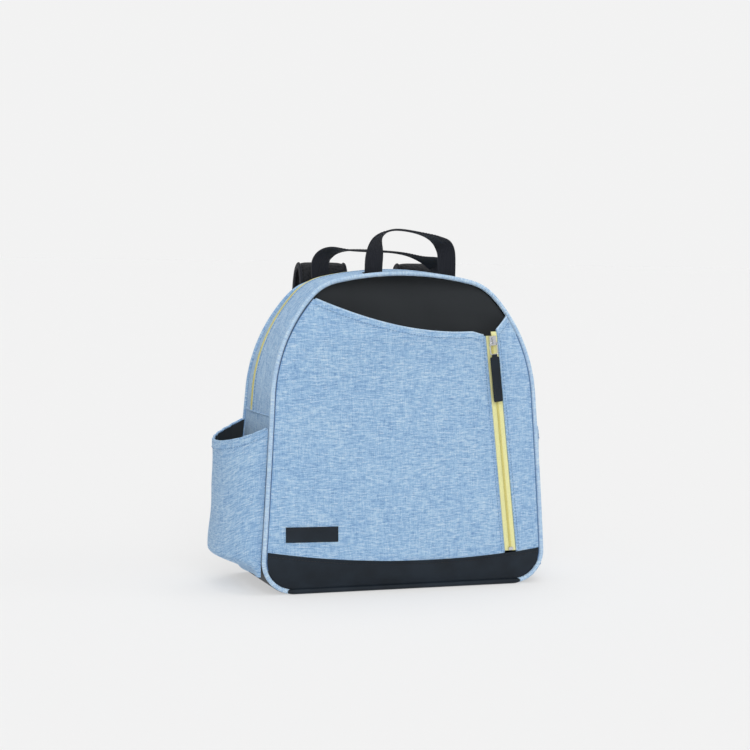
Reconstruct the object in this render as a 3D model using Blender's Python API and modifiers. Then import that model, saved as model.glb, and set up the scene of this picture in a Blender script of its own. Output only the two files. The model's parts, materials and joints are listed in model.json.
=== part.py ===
"""Racket backpack: soft front pocket for racket heads, main compartment, two side bottle pockets.

Metres, +Z up. The front faces -Y, +X is to the right of someone who faces the front, and the
underside of the base lies on z = 0 with the origin at its centre.
"""

import math

import bmesh
import bpy
from mathutils import Matrix, Vector

# Overall body
GAP = 0.0003
HEIGHT = 0.400
HALF_WIDTH = 0.187
DEPTH = 0.170
BOTTOM_Z = 0.0035
CORNER_R = 0.0385
SIDE_LEAN_DEG = 3.35
CROWN_R = 0.400
CROWN_HALF_DEG = 13.0
SHOULDER_R = 0.065
SHOULDER_END_DEG = 42.0
FRONT_LEAN = 0.025
REAR_LEAN = 0.038
REAR_INSET = 0.004
BELLY = 0.006
BELLY_FROM_Z = 0.060
BELLY_FULL_Z = 0.235

# Cloth, piping and base
CLOTH = 0.0016
PIPING_R = 0.0030
BASE_TOP_Z = 0.048
BASE_CLOTH = 0.0020
BOARD_T = 0.0025
BOARD_MARGIN = 0.012

# Front panels, their opening and the band
BAND_LOW_X = 0.030
BAND_LOW_Z = 0.0375
BAND_CURVE = 0.35
BAND_CORNER_T = 1.5
OPENING_LEFT_Z = 0.3697
OPENING_DIP_X = -0.020
OPENING_DIP_Z = 0.318
OPENING_RIGHT_Z = 0.3272
OPENING_DROP = 0.0060
FLAP_RISE = 0.019
BINDING_R = 0.0015
DIVIDER_SETBACK = 0.0025
DIVIDER_SAG = 0.016
BADGE_SIZE = (0.066, 0.019)
BADGE_FROM_SIDE = 0.0598
BADGE_Z = 0.0752
BADGE_T = 0.0014

# Front pocket zip
ZIP_Y = -0.0905
ZIP_FROM_SIDE = 0.0780
ZIP_TOP_Z = 0.322
ZIP_BOTTOM_Z = 0.046
ZIP_SLOPE = 0.115
TAPE_W = 0.0075
TAPE_T = 0.0010
CHAIN_W = 0.0034
CHAIN_T = 0.0016
STOP_SIZE = (0.0060, 0.0030, 0.0040)

# Slider, puller and leather tab
SLIDER_SIZE = (0.0090, 0.0037, 0.0120)
SLIDER_CHANNEL = 0.0024
SLIDER_LIFT = 0.0006
SLIDER_START = 0.0060
BRIDGE_R = 0.0007
BRIDGE_HALF = 0.0042
BRIDGE_RISE = 0.0070
PULLER_R = 0.0008
PULLER_HALF_W = 0.0050
PULLER_L = 0.0155
PULLER_DROP = 0.0020
TAB_T = 0.0020
TAB_W = 0.0120
TAB_NECK_W = 0.0064
TAB_NECK_L = 0.0060
TAB_RING_R = 0.0026
POCKET_TAB_L = 0.061
MAIN_TAB_L = 0.040

# Main zip
MAIN_ZIP_SHARE = 0.62
MAIN_ZIP_END_Z = 0.222
MAIN_SLIDER_DEG = 14.0

# Bottle pockets
POCKET_FRONT_SHARE = 0.012
POCKET_REAR_SHARE = 0.960
POCKET_TOP_Z = 0.207
POCKET_DIP = 0.022
POCKET_FOOT_Z = 0.022
POCKET_FOLD_Z = 0.048
POCKET_FOOT_SHARE = 0.10
LEFT_POCKET_OUT = 0.047
RIGHT_POCKET_OUT = 0.0125
HEM_R = 0.0016

# Back
BACK_PAD_INSET = 0.030
BACK_PAD_T = 0.012
BACK_PAD_Z = (0.058, 0.340)
SHEET_INSET = 0.012
SHEET_T = 0.0015
SLEEVE_SIZE = (0.250, 0.034, 0.235)
SLEEVE_WALL = 0.004
SLEEVE_FOOT_Z = 0.028
YOKE_HALF_W = 0.102
YOKE_Z = (0.347, 0.373)
YOKE_T = 0.0020

# Shoulder straps
STRAP_T = 0.012
STRAP_W = 0.064
STRAP_END_W = 0.050
STRAP_X = 0.069
STRAP_ROOT_Z = 0.358
STRAP_END_Z = 0.138
STRAP_HINGE = (0.064, 0.402)
LOCK_SIZE = (0.034, 0.0055, 0.024)
LOCK_SLOT = 0.0038
LOCK_BAR = 0.0040
WEBBING_W = 0.025
WEBBING_T = 0.0016
WING_X = 0.152
WING_SIZE = (0.030, 0.034)
WING_Z = 0.016

# Handles
HANDLE_W = 0.0235
HANDLE_T = 0.0020
HANDLE_FOOT_GAP = 0.0012
FRONT_HANDLE_Y = -0.045
FRONT_HANDLE_X = (-0.036, 0.064)
FRONT_HANDLE_RISE = 0.0555
REAR_HANDLE_Y = 0.034
REAR_HANDLE_X = (-0.082, 0.084)
REAR_HANDLE_RISE = 0.0285

# Fineness
SEGMENT_STEPS = (2, 7, 2, 5, 4, 3)
PANEL_COLUMNS = 9
PANEL_ROWS = 9

MATERIALS = {
    "blue_fabric": ((0.36, 0.55, 0.80), 0.85, 0.0),
    "black_leather": ((0.030, 0.036, 0.045), 0.45, 0.0),
    "pebbled_leather": ((0.035, 0.037, 0.042), 0.38, 0.0),
    "zip_yellow": ((0.86, 0.83, 0.48), 0.70, 0.0),
    "slider_metal": ((0.70, 0.70, 0.70), 0.28, 1.0),
    "webbing_navy": ((0.022, 0.026, 0.040), 0.75, 0.0),
    "black_mesh": ((0.020, 0.021, 0.023), 0.90, 0.0),
    "black_lining": ((0.025, 0.026, 0.030), 0.80, 0.0),
    "black_plastic": ((0.020, 0.020, 0.021), 0.45, 0.0),
}


# Scene, materials and small helpers


def clear_scene():
    """Empties the scene and returns the collections for the parts and for the cutters."""
    for obj in list(bpy.data.objects):
        bpy.data.objects.remove(obj)
    found = []
    for name in ("racket_backpack", "cutters"):
        collection = bpy.data.collections.new(name)
        bpy.context.scene.collection.children.link(collection)
        found.append(collection)
    return found


PARTS, CUTTERS = clear_scene()


def material(name):
    """The Principled material of that name, made once."""
    found = bpy.data.materials.get(name)
    if found:
        return found
    color, roughness, metallic = MATERIALS[name]
    found = bpy.data.materials.new(name)
    found.use_nodes = True
    shader = found.node_tree.nodes["Principled BSDF"]
    shader.inputs["Base Color"].default_value = (*color, 1.0)
    shader.inputs["Roughness"].default_value = roughness
    shader.inputs["Metallic"].default_value = metallic
    return found


def smooth(value):
    """Eases 0 to 1."""
    v = min(max(value, 0.0), 1.0)
    return v * v * (3.0 - 2.0 * v)


def mix(a, b, share):
    return a + (b - a) * share


def steps(low, high, count):
    """count + 1 even values from low to high."""
    return [mix(low, high, i / count) for i in range(count + 1)]


def link(name, data, slot, place=None):
    """A part's object, at place, with its material."""
    obj = bpy.data.objects.new(name, data)
    obj.matrix_world = place or Matrix.Identity(4)
    data.materials.append(material(slot))
    PARTS.objects.link(obj)
    return obj


def smooth_path(points, count):
    """Points along a Catmull-Rom curve through the given ones, count to each stretch."""
    p = [2 * points[0] - points[1], *points, 2 * points[-1] - points[-2]]
    found = []
    for i in range(1, len(p) - 2):
        for s in steps(0.0, 1.0, count)[:-1]:
            a = 2 * p[i] + (p[i + 1] - p[i - 1]) * s
            b = (2 * p[i - 1] - 5 * p[i] + 4 * p[i + 1] - p[i + 2]) * s * s
            c = (3 * p[i] - p[i - 1] - 3 * p[i + 1] + p[i + 2]) * s**3
            found.append((a + b + c) / 2)
    return found + [points[-1]]


def sheet(name, rows, thickness, slot, away_from, wrap=False, centre=None):
    """A cloth piece: a grid of points thickened towards away_from. wrap closes each row on itself."""
    columns = len(rows[0])
    verts = [p for row in rows for p in row]
    last = columns if wrap else columns - 1
    faces = []
    for i in range(len(rows) - 1):
        for j in range(last):
            k = (j + 1) % columns
            faces.append((i * columns + j, i * columns + k, (i + 1) * columns + k, (i + 1) * columns + j))
    if centre is not None:
        top = (len(rows) - 1) * columns
        verts.append(centre)
        faces += [(top + j, top + (j + 1) % columns, len(verts) - 1) for j in range(columns)]
    mesh = bpy.data.meshes.new(name)
    mesh.from_pydata([tuple(v) for v in verts], [], faces)
    facing = sum(f.normal.dot(f.center - Vector(away_from)) for f in mesh.polygons)
    if facing < 0:
        mesh.flip_normals()
    obj = link(name, mesh, slot)
    solid = obj.modifiers.new("Thickness", "SOLIDIFY")
    solid.thickness = thickness
    solid.offset = -1.0
    mesh.shade_smooth()
    return obj


def tube(name, points, radius, slot, cyclic=False, place=None, resolution=2):
    """A round cord or wire along points."""
    curve = bpy.data.curves.new(name, "CURVE")
    curve.dimensions = "3D"
    curve.bevel_depth = radius
    curve.bevel_resolution = resolution
    curve.use_fill_caps = True
    spline = curve.splines.new("POLY")
    spline.points.add(len(points) - 1)
    for target, point in zip(spline.points, points):
        target.co = (*point, 1.0)
    spline.use_cyclic_u = cyclic
    return link(name, curve, slot, place)


def ribbon(name, stations, thickness, slot, origin, rounding=0.0):
    """A flat strap: stations are (centre, width vector) pairs, and origin is the object's own origin."""
    centres = [Vector(c) - Vector(origin) for c, _ in stations]
    verts = []
    for i, (_, width) in enumerate(stations):
        ahead = centres[min(i + 1, len(centres) - 1)] - centres[max(i - 1, 0)]
        half = Vector(width) / 2
        out = ahead.cross(half).normalized() * thickness / 2
        verts += [centres[i] + half + out, centres[i] - half + out]
        verts += [centres[i] - half - out, centres[i] + half - out]
    faces = [(3, 2, 1, 0)]
    for i in range(len(stations) - 1):
        a = 4 * i
        faces += [(a + k, a + (k + 1) % 4, a + 4 + (k + 1) % 4, a + 4 + k) for k in range(4)]
    end = len(verts)
    faces.append((end - 4, end - 3, end - 2, end - 1))
    mesh = bpy.data.meshes.new(name)
    mesh.from_pydata([tuple(v) for v in verts], [], faces)
    obj = link(name, mesh, slot, Matrix.Translation(origin))
    if rounding:
        bevel = obj.modifiers.new("Rounding", "BEVEL")
        bevel.width = rounding
        bevel.segments = 2
        bevel.limit_method = "ANGLE"
        bevel.angle_limit = math.radians(50)
    return obj


def box_mesh(name, low, high):
    """A box from its lowest to its highest corner, as a mesh about the local origin."""
    low, high = Vector(low), Vector(high)
    bpy.ops.mesh.primitive_cube_add(size=1.0)
    obj = bpy.context.object
    mesh = obj.data
    mesh.name = name
    bpy.data.objects.remove(obj)
    size = high - low
    mesh.transform(Matrix.Translation((low + high) / 2) @ Matrix.Diagonal((*size, 1.0)))
    return mesh


def box(name, low, high, slot, place=None, rounding=0.0):
    """A box-shaped part, with its edges rounded if asked."""
    obj = link(name, box_mesh(name, low, high), slot, place)
    if rounding:
        bevel = obj.modifiers.new("Rounding", "BEVEL")
        bevel.width = rounding
        bevel.segments = 1
    return obj


def cutter(mesh, place):
    """An object that a Boolean uses, which is no part."""
    obj = bpy.data.objects.new("cut_" + mesh.name, mesh)
    obj.matrix_world = place or Matrix.Identity(4)
    obj.hide_render = True
    obj.display_type = "WIRE"
    CUTTERS.objects.link(obj)
    return obj


def combine(obj, operation, mesh, place=None):
    """Cuts mesh out of obj, or joins it on."""
    step = obj.modifiers.new(operation.title(), "BOOLEAN")
    step.operation = operation
    step.solver = "EXACT"
    step.object = cutter(mesh, place)
    return obj


def cylinder_mesh(name, radius, length, sides=12):
    """A cylinder along local X about the origin."""
    bpy.ops.mesh.primitive_cylinder_add(vertices=sides, radius=radius, depth=length)
    obj = bpy.context.object
    mesh = obj.data
    mesh.name = name
    bpy.data.objects.remove(obj)
    mesh.transform(Matrix.Rotation(math.pi / 2, 4, "Y"))
    return mesh


def tube_mesh(name, points, radius):
    """The mesh of a capped wire along points."""
    obj = tube(name + "_line", points, radius, "slider_metal")
    bpy.context.view_layer.update()
    mesh = bpy.data.meshes.new_from_object(obj.evaluated_get(bpy.context.evaluated_depsgraph_get()))
    mesh.name = name
    bpy.data.objects.remove(obj)
    work = bmesh.new()
    work.from_mesh(mesh)
    bmesh.ops.remove_doubles(work, verts=work.verts, dist=1e-6)
    work.to_mesh(mesh)
    work.free()
    return mesh


# The outline that front and rear share, and the surfaces built on it


class Outline:
    """Half the bag's outline from the bottom centre up to the top centre: two lines and four tangent arcs.

    A place on it is t: the segment's number plus the share of that segment. A negative t is the
    same place on the left side.
    """

    def __init__(self):
        lean = math.radians(SIDE_LEAN_DEG)
        crown_from = math.radians(90.0 - CROWN_HALF_DEG)
        shoulder_to = math.radians(SHOULDER_END_DEG)
        corner = Vector((HALF_WIDTH - CORNER_R / math.cos(lean), BOTTOM_Z + CORNER_R))
        crown = Vector((0.0, HEIGHT - CROWN_R))
        shoulder = crown + (CROWN_R - SHOULDER_R) * self.ray(crown_from)
        join = shoulder + SHOULDER_R * self.ray(shoulder_to)
        side = self.ray(lean)
        side_from = corner + CORNER_R * side
        reach = (side_from - join).dot(side)
        self.flank_r = reach / (1.0 - self.ray(shoulder_to).dot(side))
        self.flank = join - self.flank_r * self.ray(shoulder_to)
        side_to = self.flank + self.flank_r * side
        self.segments = [
            ("line", Vector((0.0, BOTTOM_Z)), Vector((corner.x, BOTTOM_Z)), Vector((0.0, -1.0))),
            ("arc", corner, CORNER_R, (-math.pi / 2, lean)),
            ("line", side_from, side_to, side),
            ("arc", self.flank, self.flank_r, (lean, shoulder_to)),
            ("arc", shoulder, SHOULDER_R, (shoulder_to, crown_from)),
            ("arc", crown, CROWN_R, (crown_from, math.pi / 2)),
        ]

    @staticmethod
    def ray(angle):
        return Vector((math.cos(angle), math.sin(angle)))

    def at(self, t, inset=0.0):
        """(x, z, outward x, outward z) at t, moved inwards by inset."""
        sign = -1.0 if t < 0 else 1.0
        index = min(int(abs(t)), len(self.segments) - 1)
        share = abs(t) - index
        kind, a, b, c = self.segments[index]
        if kind == "line":
            point, out = a.lerp(b, share), c
        else:
            out = self.ray(mix(c[0], c[1], share))
            point = a + b * out
        point = point - inset * out
        return sign * point.x, point.y, sign * out.x, out.y

    def t_where(self, test):
        """The place from the corner up where test, called with (x, z, t), turns false."""
        low, high = 1.0, float(len(self.segments))
        for _ in range(40):
            middle = (low + high) / 2
            x, z, _, _ = self.at(middle)
            if test(x, z, middle):
                low = middle
            else:
                high = middle
        return low

    def t_at(self, z):
        """The place on the side where the outline is at height z."""
        return self.t_where(lambda _, height, __: height < z)

    def width_at(self, z):
        """The half width at height z."""
        return self.at(self.t_at(min(z, HEIGHT - 1e-6)))[0]

    def moved(self, t, distance):
        """t moved along the outline by a small distance."""
        here, ahead = self.at(t), self.at(t + 1e-3)
        return t + distance * 1e-3 / math.hypot(ahead[0] - here[0], ahead[1] - here[1])


OUTLINE = Outline()
ALL_T = [i + s / n for i, n in enumerate(SEGMENT_STEPS) for s in range(n)] + [float(len(SEGMENT_STEPS))]
CLEAR = PIPING_R + GAP


def stations(t_from, t_to):
    """The outline's places between two of them, both ends among them."""
    signed = sorted({-t for t in ALL_T} | set(ALL_T))
    inside = [t for t in signed if t_from + 0.02 < t < t_to - 0.02]
    return [t_from, *inside, t_to]


def loop():
    """The places of one turn round the whole outline."""
    return [t for t in ALL_T if t < len(SEGMENT_STEPS)] + [-t for t in reversed(ALL_T) if t > 0]


def front_y(z):
    return -DEPTH / 2 + FRONT_LEAN * (z / HEIGHT) ** 2


def rear_y(z):
    return DEPTH / 2 - REAR_LEAN * z / HEIGHT


def rear_inset(z):
    """How much smaller the outline is at the rear piping, at height z."""
    return REAR_INSET * smooth((z - BASE_TOP_Z) / (BELLY_FULL_Z - BASE_TOP_Z))


def base_swell(z):
    """How far the base stands out past the outline at height z."""
    return BOTTOM_Z * (1.0 - smooth((z - BOTTOM_Z) / (BASE_TOP_Z - BOTTOM_Z)))


def skin(t, share, inset=0.0):
    """A point on the side wall: share goes from just behind the front piping to just before the rear one."""
    _, z, _, _ = OUTLINE.at(t)
    belly = BELLY * smooth((z - BELLY_FROM_Z) / (BELLY_FULL_Z - BELLY_FROM_Z))
    swell = belly * math.sin(math.pi * share) + base_swell(z)
    x, z, _, _ = OUTLINE.at(t, inset + share * rear_inset(z) - swell)
    front, rear = front_y(z) + CLEAR, rear_y(z) - CLEAR
    return Vector((x, mix(front, rear, share), z))


def zip_x(z):
    return HALF_WIDTH - ZIP_FROM_SIDE + (ZIP_TOP_Z - z) * ZIP_SLOPE


def crown_at(x, z):
    """1 on the centre line, falling to 0 at the outline."""
    return max(0.0, 1.0 - (x / max(OUTLINE.width_at(z), 1e-4)) ** 2)


def flat_at_zip(x, z):
    """x, held still across the zip's tapes, so that the front is flat there."""
    width, line, flat = OUTLINE.width_at(z), zip_x(z), TAPE_W + 2 * GAP
    if x < line - flat:
        return -width + (x + width) * (line + width) / (line - flat + width)
    if x > line + flat:
        return width - (width - x) * (width - line) / (width - line - flat)
    return line


def bulge(z):
    """How far the front stands out on the centre line: it keeps the zip's line straight."""
    held = min(max(z, ZIP_BOTTOM_Z), ZIP_TOP_Z)
    full = (front_y(held) - ZIP_Y) / crown_at(zip_x(held), held)
    return full * smooth((z - BOTTOM_Z) / (ZIP_BOTTOM_Z - BOTTOM_Z))


def front_point(x, z, out=0.0):
    """A point on the front's outer face, or out in front of it."""
    return Vector((x, front_y(z) - bulge(z) * crown_at(flat_at_zip(x, z), z) - out, z))


def divider_point(x, z, out=0.0):
    """A point on the wall behind the racket pocket."""
    sag = DIVIDER_SAG * crown_at(x, z) * smooth((z - BOTTOM_Z) / BASE_TOP_Z)
    return Vector((x, front_y(z) + DIVIDER_SETBACK + sag - out, z))


def rear_point(x, z, out=0.0):
    return Vector((x, rear_y(z) + out, z))


def disc(name, inset, surface, thickness, slot, rings=3, at_rear=False, z_range=(0.0, HEIGHT)):
    """A panel that fills the outline, moved inwards by inset: rings of points and one in the middle.

    z_range cuts it off below and above.
    """
    middle = HEIGHT * 0.46
    rows = []
    for k in range(rings):
        row = []
        for t in loop():
            extra = rear_inset(OUTLINE.at(t)[1]) if at_rear else 0.0
            x, z, _, _ = OUTLINE.at(t, inset + extra)
            z = min(max(z, z_range[0]), z_range[1])
            share = 1.0 - k / rings
            row.append(surface(x * share, mix(middle, z, share)))
        rows.append(row)
    return sheet(name, rows, thickness, slot, (0.0, 0.0, middle), wrap=True, centre=surface(0.0, middle))


def edge_t(height, inset, gap=0.0):
    """Where the outline, moved in by inset, meets the curve z = height(x), a gap above or below it."""

    def below(_, __, t):
        x, z, _, _ = OUTLINE.at(t, inset)
        return z < height(x) + gap

    return OUTLINE.t_where(below)


def patch(bottom, top, left, right, columns, rows):
    """A grid of (x, z) points between four edges, each a function of its own share."""
    grid = []
    for v in steps(0.0, 1.0, rows):
        row = []
        for u in steps(0.0, 1.0, columns):
            sides = left(v).lerp(right(v), u)
            ends = bottom(u).lerp(top(u), v)
            corners = bottom(0).lerp(bottom(1), u).lerp(top(0).lerp(top(1), u), v)
            row.append(sides + ends - corners)
        grid.append(row)
    return grid


def fit_ends(curve, start, end):
    """The curve, bent a little so that it starts and ends at these points."""
    shift_a, shift_b = start - curve(0.0), end - curve(1.0)
    return lambda u: curve(u) + shift_a.lerp(shift_b, u)


def bezier(a, b, c):
    return lambda u: a.lerp(b, u).lerp(b.lerp(c, u), u)


def on_surface(grid, surface, out=0.0):
    return [[surface(p.x, p.y, out) for p in row] for row in grid]


def band_seam(x):
    """The height of the seam between the band and the panels above it."""
    return BAND_LOW_Z + BAND_CURVE * (x - BAND_LOW_X) ** 2


def rim(side, t_from, t_to, inset=CLEAR):
    """A share of the outline as an edge function, on the left (-1) or right (1)."""

    def edge(v):
        x, z, _, _ = OUTLINE.at(mix(t_from, t_to, v), inset)
        return Vector((side * x, z))

    return edge


def zip_edge(offset, z_from, z_to):
    """A line beside the pocket zip as an edge function."""

    def edge(v):
        z = mix(z_from, z_to, v)
        return Vector((zip_x(z) + offset, z))

    return edge


def panel_edges(side):
    """The four edges of the front panel left (-1) or right (1) of the zip."""
    offset = side * (TAPE_W + 2 * GAP)
    seam_z = band_seam(zip_x(ZIP_BOTTOM_Z) + offset) + GAP
    low = edge_t(lambda x: band_seam(side * x), CLEAR, GAP)
    if side < 0:
        high = OUTLINE.t_at(OPENING_LEFT_Z)
        beside = zip_edge(offset, seam_z, ZIP_TOP_Z)
        outer = rim(-1, low, high)
        right_end = Vector((beside(1).x, OPENING_RIGHT_Z))
        arc = bezier(outer(1), Vector((OPENING_DIP_X, OPENING_DIP_Z)), right_end)
        drop = right_end.y - ZIP_TOP_Z
        top = lambda u: arc(u) - Vector((0.0, drop * smooth((u - 0.9) / 0.1)))
        bottom = lambda u: Vector((mix(outer(0).x, beside(0).x, u), 0.0))
        left, right = outer, beside
    else:
        high = OUTLINE.t_at(ZIP_TOP_Z + OPENING_DROP + FLAP_RISE)
        beside = zip_edge(offset, seam_z, ZIP_TOP_Z + OPENING_DROP)
        outer = rim(1, low, high)
        top = lambda u: beside(1).lerp(outer(1), u)
        bottom = lambda u: Vector((mix(beside(0).x, outer(0).x, u), 0.0))
        left, right = beside, outer
    seam = lambda u: Vector((bottom(u).x, band_seam(bottom(u).x) + GAP))
    return fit_ends(seam, left(0), right(0)), fit_ends(top, left(1), right(1)), left, right


# Sub-parts


def make_front():
    """The panels on both sides of the zip, their bound top edges, the band and the blank badge."""
    for side, word, columns in ((-1, "left", PANEL_COLUMNS), (1, "right", 2)):
        edges = panel_edges(side)
        grid = patch(*edges, columns, PANEL_ROWS)
        sheet(f"front_panel_{word}", on_surface(grid, front_point), CLOTH, "blue_fabric", (0.0, 0.1, 0.2))
        above = BINDING_R + 3 * GAP
        line = [front_point(p.x, p.y + above, -CLOTH / 2) for p in map(edges[1], steps(0.03, 0.96, columns + 3))]
        tube(f"opening_binding_{word}", line, BINDING_R, "blue_fabric")

    left = rim(-1, BAND_CORNER_T, edge_t(lambda x: band_seam(-x), CLEAR, -GAP))
    right = rim(1, BAND_CORNER_T, edge_t(band_seam, CLEAR, -GAP))
    bottom = lambda u: Vector(OUTLINE.at(mix(-BAND_CORNER_T, BAND_CORNER_T, u), CLEAR)[:2])
    across = lambda u: mix(left(1).x, right(1).x, u)
    seam = fit_ends(lambda u: Vector((across(u), band_seam(across(u)) - GAP)), left(1), right(1))
    grid = patch(bottom, seam, left, right, 2 * PANEL_COLUMNS - 2, 4)
    sheet("front_band", on_surface(grid, front_point), CLOTH, "black_leather", (0.0, 0.1, 0.2))

    w, h = BADGE_SIZE
    cx, cz = BADGE_FROM_SIDE - HALF_WIDTH, BADGE_Z
    rows = [[Vector((x, z)) for x in steps(cx - w / 2, cx + w / 2, 4)] for z in steps(cz - h / 2, cz + h / 2, 1)]
    lifted = on_surface(rows, front_point, BADGE_T + 3 * GAP)
    sheet("blank_badge", lifted, BADGE_T, "black_leather", (0.0, 0.1, 0.2))


def make_pocket_zip():
    """Both tapes, the closed chain and the stop at its foot."""
    foot = band_seam(zip_x(ZIP_BOTTOM_Z)) + 2 * GAP
    for side, word in ((-1, "left"), (1, "right")):
        rows = []
        for z in steps(foot + 0.002, ZIP_TOP_Z, 6):
            inner = front_point(zip_x(z) + side * GAP, z)
            rows.append([inner, front_point(zip_x(z) + side * TAPE_W, z)])
        sheet(f"pocket_zip_tape_{word}", rows, TAPE_T, "zip_yellow", (0.0, 0.1, 0.2))
    low, high = foot + STOP_SIZE[2] + 0.003, ZIP_TOP_Z - 0.001
    place = pocket_zip_frame(low)
    length = (Vector((zip_x(high), 0, high)) - Vector((zip_x(low), 0, low))).length
    half = CHAIN_W / 2
    box("pocket_zip_chain", (-half, -GAP - CHAIN_T, 0), (half, -GAP, length), "zip_yellow", place)
    w, t, h = STOP_SIZE
    stop_from = (-w / 2, -GAP - t, -h - GAP)
    box("pocket_zip_stop", stop_from, (w / 2, -GAP, -GAP), "slider_metal", place)


def pocket_zip_frame(z):
    """The zip's own axes at height z: X across it, Y into the bag, Z up along it."""
    up = Vector((-ZIP_SLOPE, 0.0, 1.0)).normalized()
    return frame_of(Vector((zip_x(z), ZIP_Y, z)), Vector((0.0, 1.0, 0.0)), up)


def frame_of(origin, inwards, up):
    across = inwards.cross(up)
    place = Matrix((across, inwards, up)).transposed().to_4x4()
    return Matrix.Translation(origin) @ place


def main_slider_frame():
    """The main zip's axes where its slider is parked, on the arc of the right flank."""
    lean, end = math.radians(SIDE_LEAN_DEG), math.radians(SHOULDER_END_DEG)
    angle = math.radians(MAIN_SLIDER_DEG)
    t = 3.0 + (angle - lean) / (end - lean)
    out = Vector((math.cos(angle), 0.0, math.sin(angle)))
    up = Vector((-math.sin(angle), 0.0, math.cos(angle)))
    return frame_of(skin(t, MAIN_ZIP_SHARE), -out, up)


def make_slider(prefix, place, tab_length):
    """A slider with its bridge, the wire puller that hangs from it and the leather tab on the puller."""
    w, t, h = SLIDER_SIZE
    slider = box(f"{prefix}_slider", (-w / 2, -GAP - t, -h / 2), (w / 2, -SLIDER_LIFT, h / 2), "slider_metal", place)
    half, over = SLIDER_CHANNEL, CHAIN_T + 2 * GAP
    combine(slider, "DIFFERENCE", box_mesh(f"{prefix}_channel", (-half, -over, -h), (half, h, h)), place)
    line = [(0, -t, BRIDGE_HALF), (0, -BRIDGE_RISE, BRIDGE_HALF), (0, -BRIDGE_RISE, -BRIDGE_HALF), (0, -t, -BRIDGE_HALF)]
    combine(slider, "UNION", tube_mesh(f"{prefix}_bridge", line, BRIDGE_R), place)

    pin = Vector((0.0, -(GAP + t + BRIDGE_RISE - BRIDGE_R) / 2, -PULLER_DROP))
    puller_place = place @ Matrix.Translation(pin)
    r, low = PULLER_HALF_W, -PULLER_L
    cut = r * 0.3
    ring = [(-r + cut, 0, 0), (r - cut, 0, 0), (r, 0, -cut), (r, 0, low + cut)]
    ring += [(r - cut, 0, low), (-r + cut, 0, low), (-r, 0, low + cut), (-r, 0, -cut)]
    tube(f"{prefix}_puller", ring, PULLER_R, "slider_metal", cyclic=True, place=puller_place)

    tab_place = puller_place @ Matrix.Translation((0.0, 0.0, low))
    flat = TAB_T / 2
    tab = link(f"{prefix}_pull_tab", cylinder_mesh(f"{prefix}_ring", TAB_RING_R, TAB_NECK_W), "black_leather", tab_place)
    half = TAB_NECK_W / 2
    combine(tab, "UNION", box_mesh(f"{prefix}_neck", (-half, -flat, -TAB_NECK_L), (half, flat, 0)), tab_place)
    half = TAB_W / 2
    body = box_mesh(f"{prefix}_leaf", (-half, -flat, -tab_length), (half, flat, -TAB_RING_R - 2 * PULLER_R))
    combine(tab, "UNION", body, tab_place)
    hole = cylinder_mesh(f"{prefix}_eye", PULLER_R + GAP, TAB_W * 2)
    combine(tab, "DIFFERENCE", hole, tab_place)


def make_walls():
    """Both pipings, the walls round the main compartment, its zip, the base and its board."""
    front = [Vector((x, front_y(z), z)) for x, z, _, _ in (OUTLINE.at(t) for t in loop())]
    tube("front_piping", front, PIPING_R, "blue_fabric", cyclic=True)
    smaller = (OUTLINE.at(t, rear_inset(OUTLINE.at(t)[1])) for t in loop())
    rear = [Vector((x, rear_y(z), z)) for x, z, _, _ in smaller]
    tube("rear_piping", rear, PIPING_R, "blue_fabric", cyclic=True)

    half_gap = GAP / 2
    base_t = OUTLINE.t_at(BASE_TOP_Z)
    end_t = OUTLINE.t_at(MAIN_ZIP_END_Z)
    top = OUTLINE.moved(base_t, -half_gap)
    wall("base_gusset", -top, top, BASE_CLOTH, "black_leather")
    for side, word in ((-1, "left"), (1, "right")):
        ends = sorted((side * OUTLINE.moved(base_t, half_gap), side * OUTLINE.moved(end_t, -half_gap)))
        wall(f"side_panel_{word}", *ends, CLOTH, "blue_fabric")
    reach = OUTLINE.moved(end_t, half_gap)
    edge = TAPE_W + GAP
    arch("front_gusset", reach, None, -edge, 2, CLOTH, "blue_fabric")
    arch("main_zip_tape_front", reach, -TAPE_W, -GAP, 1, TAPE_T, "zip_yellow")
    arch("main_zip_tape_rear", reach, GAP, TAPE_W, 1, TAPE_T, "zip_yellow")
    arch("rear_gusset", reach, edge, None, 2, CLOTH, "blue_fabric")
    teeth = OUTLINE.moved(reach, STOP_SIZE[2])
    arch("main_zip_chain", teeth, -CHAIN_W / 2, CHAIN_W / 2, 1, CHAIN_T, "zip_yellow", GAP + CHAIN_T)

    inner = HALF_WIDTH - CORNER_R - BOARD_MARGIN / 4
    low_y, high_y = front_y(0) + BOARD_MARGIN, rear_y(0) - BOARD_MARGIN
    lift = BASE_CLOTH + GAP
    box("base_board", (-inner, low_y, lift), (inner, high_y, lift + BOARD_T), "black_plastic")


def wall(name, t_from, t_to, thickness, slot):
    """A stretch of the side wall between two places on the outline, from piping to piping."""
    rows = [[skin(t, s) for s in steps(0.0, 1.0, 4)] for t in stations(t_from, t_to)]
    return sheet(name, rows, thickness, slot, (0.0, 0.0, 0.2))


def over_top(reach):
    """The places from the right end of the main zip over the top to its left end."""
    right = stations(reach, float(len(SEGMENT_STEPS)))
    return right + [-t for t in reversed(right[:-1])]


def arch(name, reach, start, end, columns, thickness, slot, lift=0.0):
    """A strip over the top between two distances from the main zip's line; None stands for the piping."""
    rows = []
    for t in over_top(reach):
        depth = (skin(t, 1.0) - skin(t, 0.0)).length
        low = 0.0 if start is None else MAIN_ZIP_SHARE + start / depth
        high = 1.0 if end is None else MAIN_ZIP_SHARE + end / depth
        rows.append([skin(t, s, -lift) for s in steps(low, high, columns)])
    return sheet(name, rows, thickness, slot, (0.0, 0.0, 0.2))


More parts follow.
